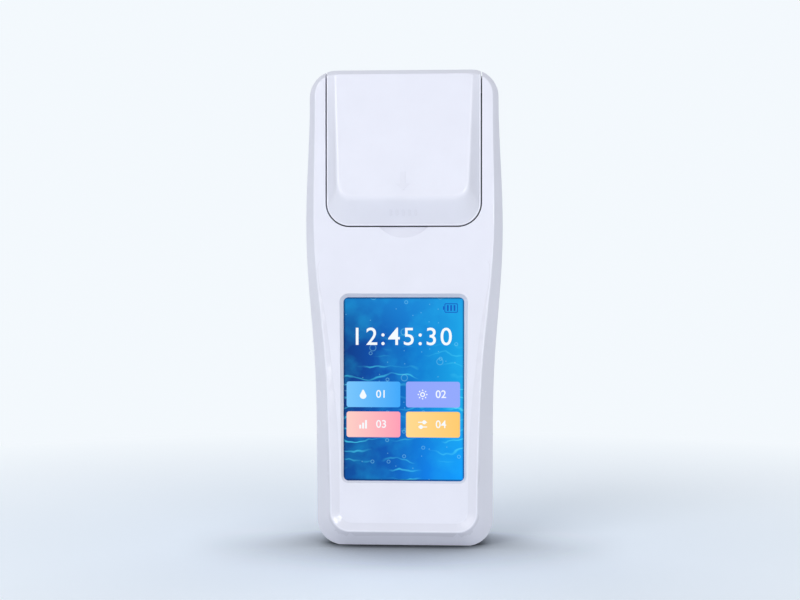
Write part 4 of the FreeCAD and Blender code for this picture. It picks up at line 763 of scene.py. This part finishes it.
def round_outline(x, z, r):
    """Flat filled circle on the screen, given in millimetres."""
    bpy.ops.object.select_all(action="DESELECT")
    bpy.ops.mesh.primitive_circle_add(
        vertices=DISC_SIDES, radius=r * MM, fill_type="NGON", location=(x * MM, 0, z * MM),
        rotation=(math.pi / 2, 0, 0))
    piece = bpy.context.object
    apply_place(piece)
    return piece


def disc(x, z, r, level, hole=0.0):
    """Round dot or ring on the screen, given in millimetres."""
    piece = round_outline(x, z, r)
    if hole:
        cut_hole(piece, (r - hole) * MM)
    return thicken(piece, level)


def drop(x, z, r, level):
    """Water drop on the screen: a round foot drawn up to a tip."""
    piece = round_outline(x, z, r)
    for point in piece.data.vertices:
        rise = max(0.0, point.co.z - z * MM) / (r * MM)
        point.co.x = x * MM + (point.co.x - x * MM) * (1 - DROP_TAPER * rise)
        point.co.z += DROP_TIP * r * MM * rise ** 3
    return thicken(piece, level)


def numerals(figures, x, z, height, level, weight, spacing=1.0):
    """Plain figures on the screen, about their middle."""
    bpy.ops.object.select_all(action="DESELECT")
    bpy.ops.object.text_add(location=(0, 0, 0), rotation=(math.pi / 2, 0, 0))
    piece = bpy.context.object
    piece.data.body = figures
    piece.data.size = height * MM
    piece.data.align_x = "CENTER"
    piece.data.align_y = "CENTER"
    piece.data.extrude = LAYER / 2
    piece.data.offset = weight * MM
    piece.data.space_character = spacing
    select_only(piece)
    bpy.ops.object.convert(target="MESH")
    piece = bpy.context.object
    apply_place(piece)
    edit_all(piece)
    bpy.ops.mesh.remove_doubles(threshold=WELD)
    bpy.ops.mesh.normals_make_consistent(inside=False)
    bpy.ops.object.mode_set(mode="OBJECT")
    piece.location = (x * MM, layer_y(level) - LAYER / 2, z * MM)
    apply_place(piece)
    return piece


def joined(parts):
    """Several shapes as one piece."""
    bpy.ops.object.select_all(action="DESELECT")
    for part in parts:
        part.select_set(True)
    bpy.context.view_layer.objects.active = parts[0]
    bpy.ops.object.join()
    return parts[0]


def drop_icon(x, z):
    """A drop."""
    return [drop(x, z - DROP_LOW * ICON_R, DROP_R * ICON_R, 1)]


def sun_icon(x, z):
    """A ring with round rays."""
    rays = []
    for step in range(SUN_RAYS):
        turn = math.radians(360 / SUN_RAYS * step)
        ray_x = x + RAY_PLACE * ICON_R * math.cos(turn)
        ray_z = z + RAY_PLACE * ICON_R * math.sin(turn)
        rays.append(disc(ray_x, ray_z, RAY_R * ICON_R, 1))
    return [disc(x, z, SUN_R * ICON_R, 1, SUN_HOLE_R * ICON_R)] + rays


def bars_icon(x, z):
    """Bars that rise to the right from one foot."""
    bars = []
    foot = z - BAR_FOOT * ICON_R
    for step, rise in enumerate(BAR_RISES):
        bar_x = x + (step - 1) * BAR_STEP * ICON_R
        bars.append(slab(bar_x, foot + rise * ICON_R / 2, BAR_WIDTH * ICON_R, rise * ICON_R, SIGN_CORNER, 1))
    return bars


def sliders_icon(x, z):
    """Two slots, each with its knob to one side."""
    parts = []
    for row, aside in SLIDER_ROWS:
        row_z = z + row * ICON_R
        parts.append(slab(x, row_z, SLIDER_LENGTH * ICON_R, SLIDER_WIDTH * ICON_R, SIGN_CORNER, 1))
        parts.append(disc(x + aside * ICON_R, row_z, KNOB_R * ICON_R, KNOB_LEVEL))
    return parts


def screen_tile(number, x, z, colours, icon):
    """One of the four keys on the screen, with its sign and number."""
    edge = TILE_WIDTH / 2
    ink = screen_ink("tile_ink_%d" % number, tone(colours[0]), tone(colours[1]),
                     (x - edge) * MM, (x + edge) * MM)
    on_screen(slab(x, z, TILE_WIDTH, TILE_HEIGHT, TILE_CORNER, 0), "screen_tile_%d" % number, ink)
    on_screen(joined(icon(x - ICON_ASIDE, z)), "screen_sign_%d" % number, SCREEN_WHITE)
    label = numerals("%02d" % number, x + LABEL_ASIDE, z, LABEL_HEIGHT, 1, LABEL_WEIGHT)
    on_screen(label, "screen_number_%d" % number, SCREEN_WHITE)


def battery_outline():
    """Rounded frame of the battery sign, cut open by a deeper block."""
    outline = slab(BATTERY_X, BATTERY_Z, BATTERY_WIDTH, BATTERY_HEIGHT, BATTERY_CORNER, 0)
    hole_width = BATTERY_WIDTH - 2 * BATTERY_LINE
    hole_height = BATTERY_HEIGHT - 2 * BATTERY_LINE
    cutter = slab(BATTERY_X, BATTERY_Z, hole_width, hole_height, BATTERY_HOLE_CORNER, 0)
    edit_all(cutter)
    bpy.ops.transform.resize(value=(1, CUTTER_STRETCH, 1))
    bpy.ops.object.mode_set(mode="OBJECT")
    select_only(outline)
    cut = outline.modifiers.new("cut", "BOOLEAN")
    cut.object = cutter
    cut.solver = "EXACT"
    bpy.ops.object.modifier_apply(modifier=cut.name)
    bpy.data.objects.remove(cutter)
    return outline


def battery_sign():
    """Battery sign: an outline with its tip to the left and three bars."""
    parts = [battery_outline()]
    tip_x = BATTERY_X - BATTERY_WIDTH / 2 - BATTERY_TIP_OUT
    parts.append(slab(tip_x, BATTERY_Z, BATTERY_TIP_WIDTH, BATTERY_TIP_HEIGHT, BATTERY_TIP_CORNER, 0))
    bar_height = BATTERY_HEIGHT - 4 * BATTERY_LINE
    for step in range(BATTERY_BARS):
        bar_x = BATTERY_X + (step - 1) * BATTERY_BAR_STEP
        parts.append(slab(bar_x, BATTERY_Z, BATTERY_BAR_WIDTH, bar_height, BATTERY_BAR_CORNER, 0))
    on_screen(joined(parts), "screen_battery_sign", SCREEN_NAVY)


# Tiles: column, row, tones at their left and right, and sign
TILES = (
    (0, 0, ("78C6FC", "3FA9FB"), drop_icon),
    (1, 0, ("93A6FD", "93A9FD"), sun_icon),
    (0, 1, ("FDCFC6", "FF9FB6"), bars_icon),
    (1, 1, ("FFDA90", "FFCB6E"), sliders_icon),
)
for number, (column, row, colours, icon) in enumerate(TILES, 1):
    screen_tile(number, TILE_COLUMNS[column], TILE_ROWS[row], colours, icon)
clock = numerals(CLOCK_TEXT, CLOCK_X, CLOCK_Z, CLOCK_HEIGHT, 0, CLOCK_WEIGHT, CLOCK_SPACING)
on_screen(clock, "screen_clock", SCREEN_WHITE)
battery_sign()


# Stage

PALE_AIR = (0.90, 0.945, 0.985)
PAINT = (0.72, 0.75, 0.78)
PAINT_SEEN = (1.06, 1.14, 1.25)
PAINT_ROUGHNESS = 0.9
FADE_FROM = 0.08
FADE_TO = 0.45
CONTACT_REACH = 60 * MM
CONTACT_SAMPLES = 16
CONTACT_DEPTH = 1.75
BESIDE_SHADE = 0.3
WORLD_LIGHT = 0.42

# Sweep in metres: floor, rise behind it and the bend between them. Its rear edge lies past SWEEP_REAR
SWEEP_WIDTH = 14
SWEEP_LENGTH = 9
SWEEP_REAR = 4
SWEEP_RISE = 5
SWEEP_BEND = 2.5
SWEEP_BEND_STEPS = 24

# Lamps: name, place, width and power
LAMP_TARGET = (0, 0, 0.1)
LAMPS = (
    ("key_upper_left", (-0.75, -1.15, 0.95), 0.9, 4.8),
    ("fill_left", (-0.85, -1.45, 0.35), 0.9, 6.6),
    ("fill_right", (0.90, -1.40, 0.30), 0.9, 6.0),
    ("fill_low", (0.45, -1.50, 0.15), 0.25, 3.4),
    ("back_left", (-0.90, 1.40, 0.55), 0.9, 6.5),
    ("back_right", (0.90, 1.40, 0.45), 0.9, 6.5),
)


def seen_directly(made):
    """1 for what the camera, a reflection or a clear piece shows, 0 for light on the object."""
    path = made.node("ShaderNodeLightPath")
    seen = made.maths("MAXIMUM", path.outputs["Is Camera Ray"], path.outputs["Is Glossy Ray"])
    return made.maths("MAXIMUM", seen, path.outputs["Is Transmission Ray"])


def studio_paint():
    """Pale paint that deepens the shadow at the object's foot and fades into the even air further out."""
    made = Recipe("studio_paint", PAINT, PAINT_ROUGHNESS)
    seen = seen_directly(made)
    contact = made.node("ShaderNodeAmbientOcclusion", samples=CONTACT_SAMPLES)
    contact.inputs["Distance"].default_value = CONTACT_REACH
    in_front = made.spread(made.axes(made.place)[1], 1.0, BESIDE_SHADE, FACE_Y, -FACE_Y)
    depth = made.maths("MULTIPLY", in_front, CONTACT_DEPTH)
    open_air = made.maths("POWER", contact.outputs["AO"], depth)
    made.colour_from(made.mix(seen, PAINT, made.mix(open_air, (0.0, 0.0, 0.0), PAINT_SEEN)))
    made.set("Specular IOR Level", 0.0)
    reach = made.node("ShaderNodeVectorMath", operation="LENGTH")
    made.link(made.place, reach.inputs[0])
    far = made.spread(reach.outputs["Value"], 0, 1, FADE_FROM, FADE_TO)
    glow = made.node("ShaderNodeEmission")
    glow.inputs["Color"].default_value = (*PALE_AIR, 1)
    blend = made.node("ShaderNodeMixShader")
    made.link(made.maths("MULTIPLY", seen, far), blend.inputs[0])
    made.link(made.shader.outputs[0], blend.inputs[1])
    made.link(glow.outputs[0], blend.inputs[2])
    made.link(blend.outputs[0], made.tree.nodes["Material Output"].inputs["Surface"])
    return made.material


def plain_floor():
    """Pale sweep: a floor that turns up into the backdrop in a wide curve."""
    bpy.ops.object.select_all(action="DESELECT")
    bpy.ops.mesh.primitive_plane_add(size=1, location=(0, 0, 0))
    sweep = bpy.context.object
    sweep.name = "studio_sweep"
    sweep.scale = (SWEEP_WIDTH, SWEEP_LENGTH, 1)
    apply_place(sweep)
    bpy.ops.object.mode_set(mode="EDIT")
    bpy.ops.mesh.select_all(action="DESELECT")
    bpy.ops.object.mode_set(mode="OBJECT")
    for edge in sweep.data.edges:
        ends = [sweep.data.vertices[index].co.y for index in edge.vertices]
        edge.select = min(ends) > SWEEP_REAR
    bpy.ops.object.mode_set(mode="EDIT")
    bpy.ops.mesh.select_mode(type="EDGE")
    bpy.ops.mesh.extrude_region_move(TRANSFORM_OT_translate={"value": (0, 0, SWEEP_RISE)})
    bpy.ops.object.mode_set(mode="OBJECT")
    for edge in sweep.data.edges:
        ends = [sweep.data.vertices[index].co for index in edge.vertices]
        edge.select = all(end.y > SWEEP_REAR and end.z < SWEEP_RISE / 2 for end in ends)
    bpy.ops.object.mode_set(mode="EDIT")
    bpy.ops.mesh.bevel(offset=SWEEP_BEND, segments=SWEEP_BEND_STEPS, affect="EDGES")
    bpy.ops.object.mode_set(mode="OBJECT")
    bpy.ops.object.shade_smooth()
    sweep.data.materials.append(studio_paint())


def lamp(name, place, width, power):
    """Soft white box that faces the object."""
    light = bpy.data.lights.new(name, "AREA")
    light.shape = "SQUARE"
    light.size = width
    light.energy = power
    holder = bpy.data.objects.new(name, light)
    holder.location = place
    holder.rotation_euler = (Vector(LAMP_TARGET) - Vector(place)).to_track_quat("-Z", "Y").to_euler()
    bpy.context.scene.collection.objects.link(holder)


def studio():
    """Even pale air, a soft key from the upper left, and softer lamps round the object."""
    world = bpy.data.worlds.new("studio_air")
    bpy.context.scene.world = world
    world.use_nodes = True
    tree = world.node_tree
    air = tree.nodes["Background"]
    air.inputs["Color"].default_value = (*PALE_AIR, 1)
    path = tree.nodes.new("ShaderNodeLightPath")
    shown = tree.nodes.new("ShaderNodeMath")
    shown.operation = "MAXIMUM"
    tree.links.new(path.outputs["Is Camera Ray"], shown.inputs[0])
    tree.links.new(path.outputs["Is Transmission Ray"], shown.inputs[1])
    level = tree.nodes.new("ShaderNodeMapRange")
    level.inputs["To Min"].default_value = WORLD_LIGHT
    level.inputs["To Max"].default_value = 1.0
    tree.links.new(shown.outputs[0], level.inputs["Value"])
    tree.links.new(level.outputs["Result"], air.inputs["Strength"])
    for name, place, width, power in LAMPS:
        lamp(name, place, width, power)


def photo_camera():
    """Camera at the photograph's place: a little to the right, level with the instrument's middle."""
    lens = bpy.data.cameras.new("photo_camera")
    holder = bpy.data.objects.new("photo_camera", lens)
    bpy.context.scene.collection.objects.link(holder)
    lens.sensor_width = SENSOR / MM
    lens.lens = FOCAL_PIXELS / PHOTO_WIDTH * SENSOR / MM
    pitch = math.atan((PHOTO_HEIGHT / 2 - HORIZON_ROW) / FOCAL_PIXELS)
    aside = math.atan((OBJECT_COLUMN - PHOTO_WIDTH / 2) / FOCAL_PIXELS)
    away = Vector((math.sin(CAMERA_AZIMUTH), -math.cos(CAMERA_AZIMUTH), 0)) * CAMERA_DISTANCE
    holder.location = Vector((0, FACE_Y, CAMERA_HEIGHT)) + away
    holder.rotation_euler = (math.pi / 2 - pitch, 0, CAMERA_AZIMUTH + aside)
    lens.clip_start = CLIP_NEAR
    lens.clip_end = CLIP_FAR
    bpy.context.scene.camera = holder


plain_floor()
studio()
photo_camera()

view = bpy.context.scene.view_settings
view.view_transform = "Standard"
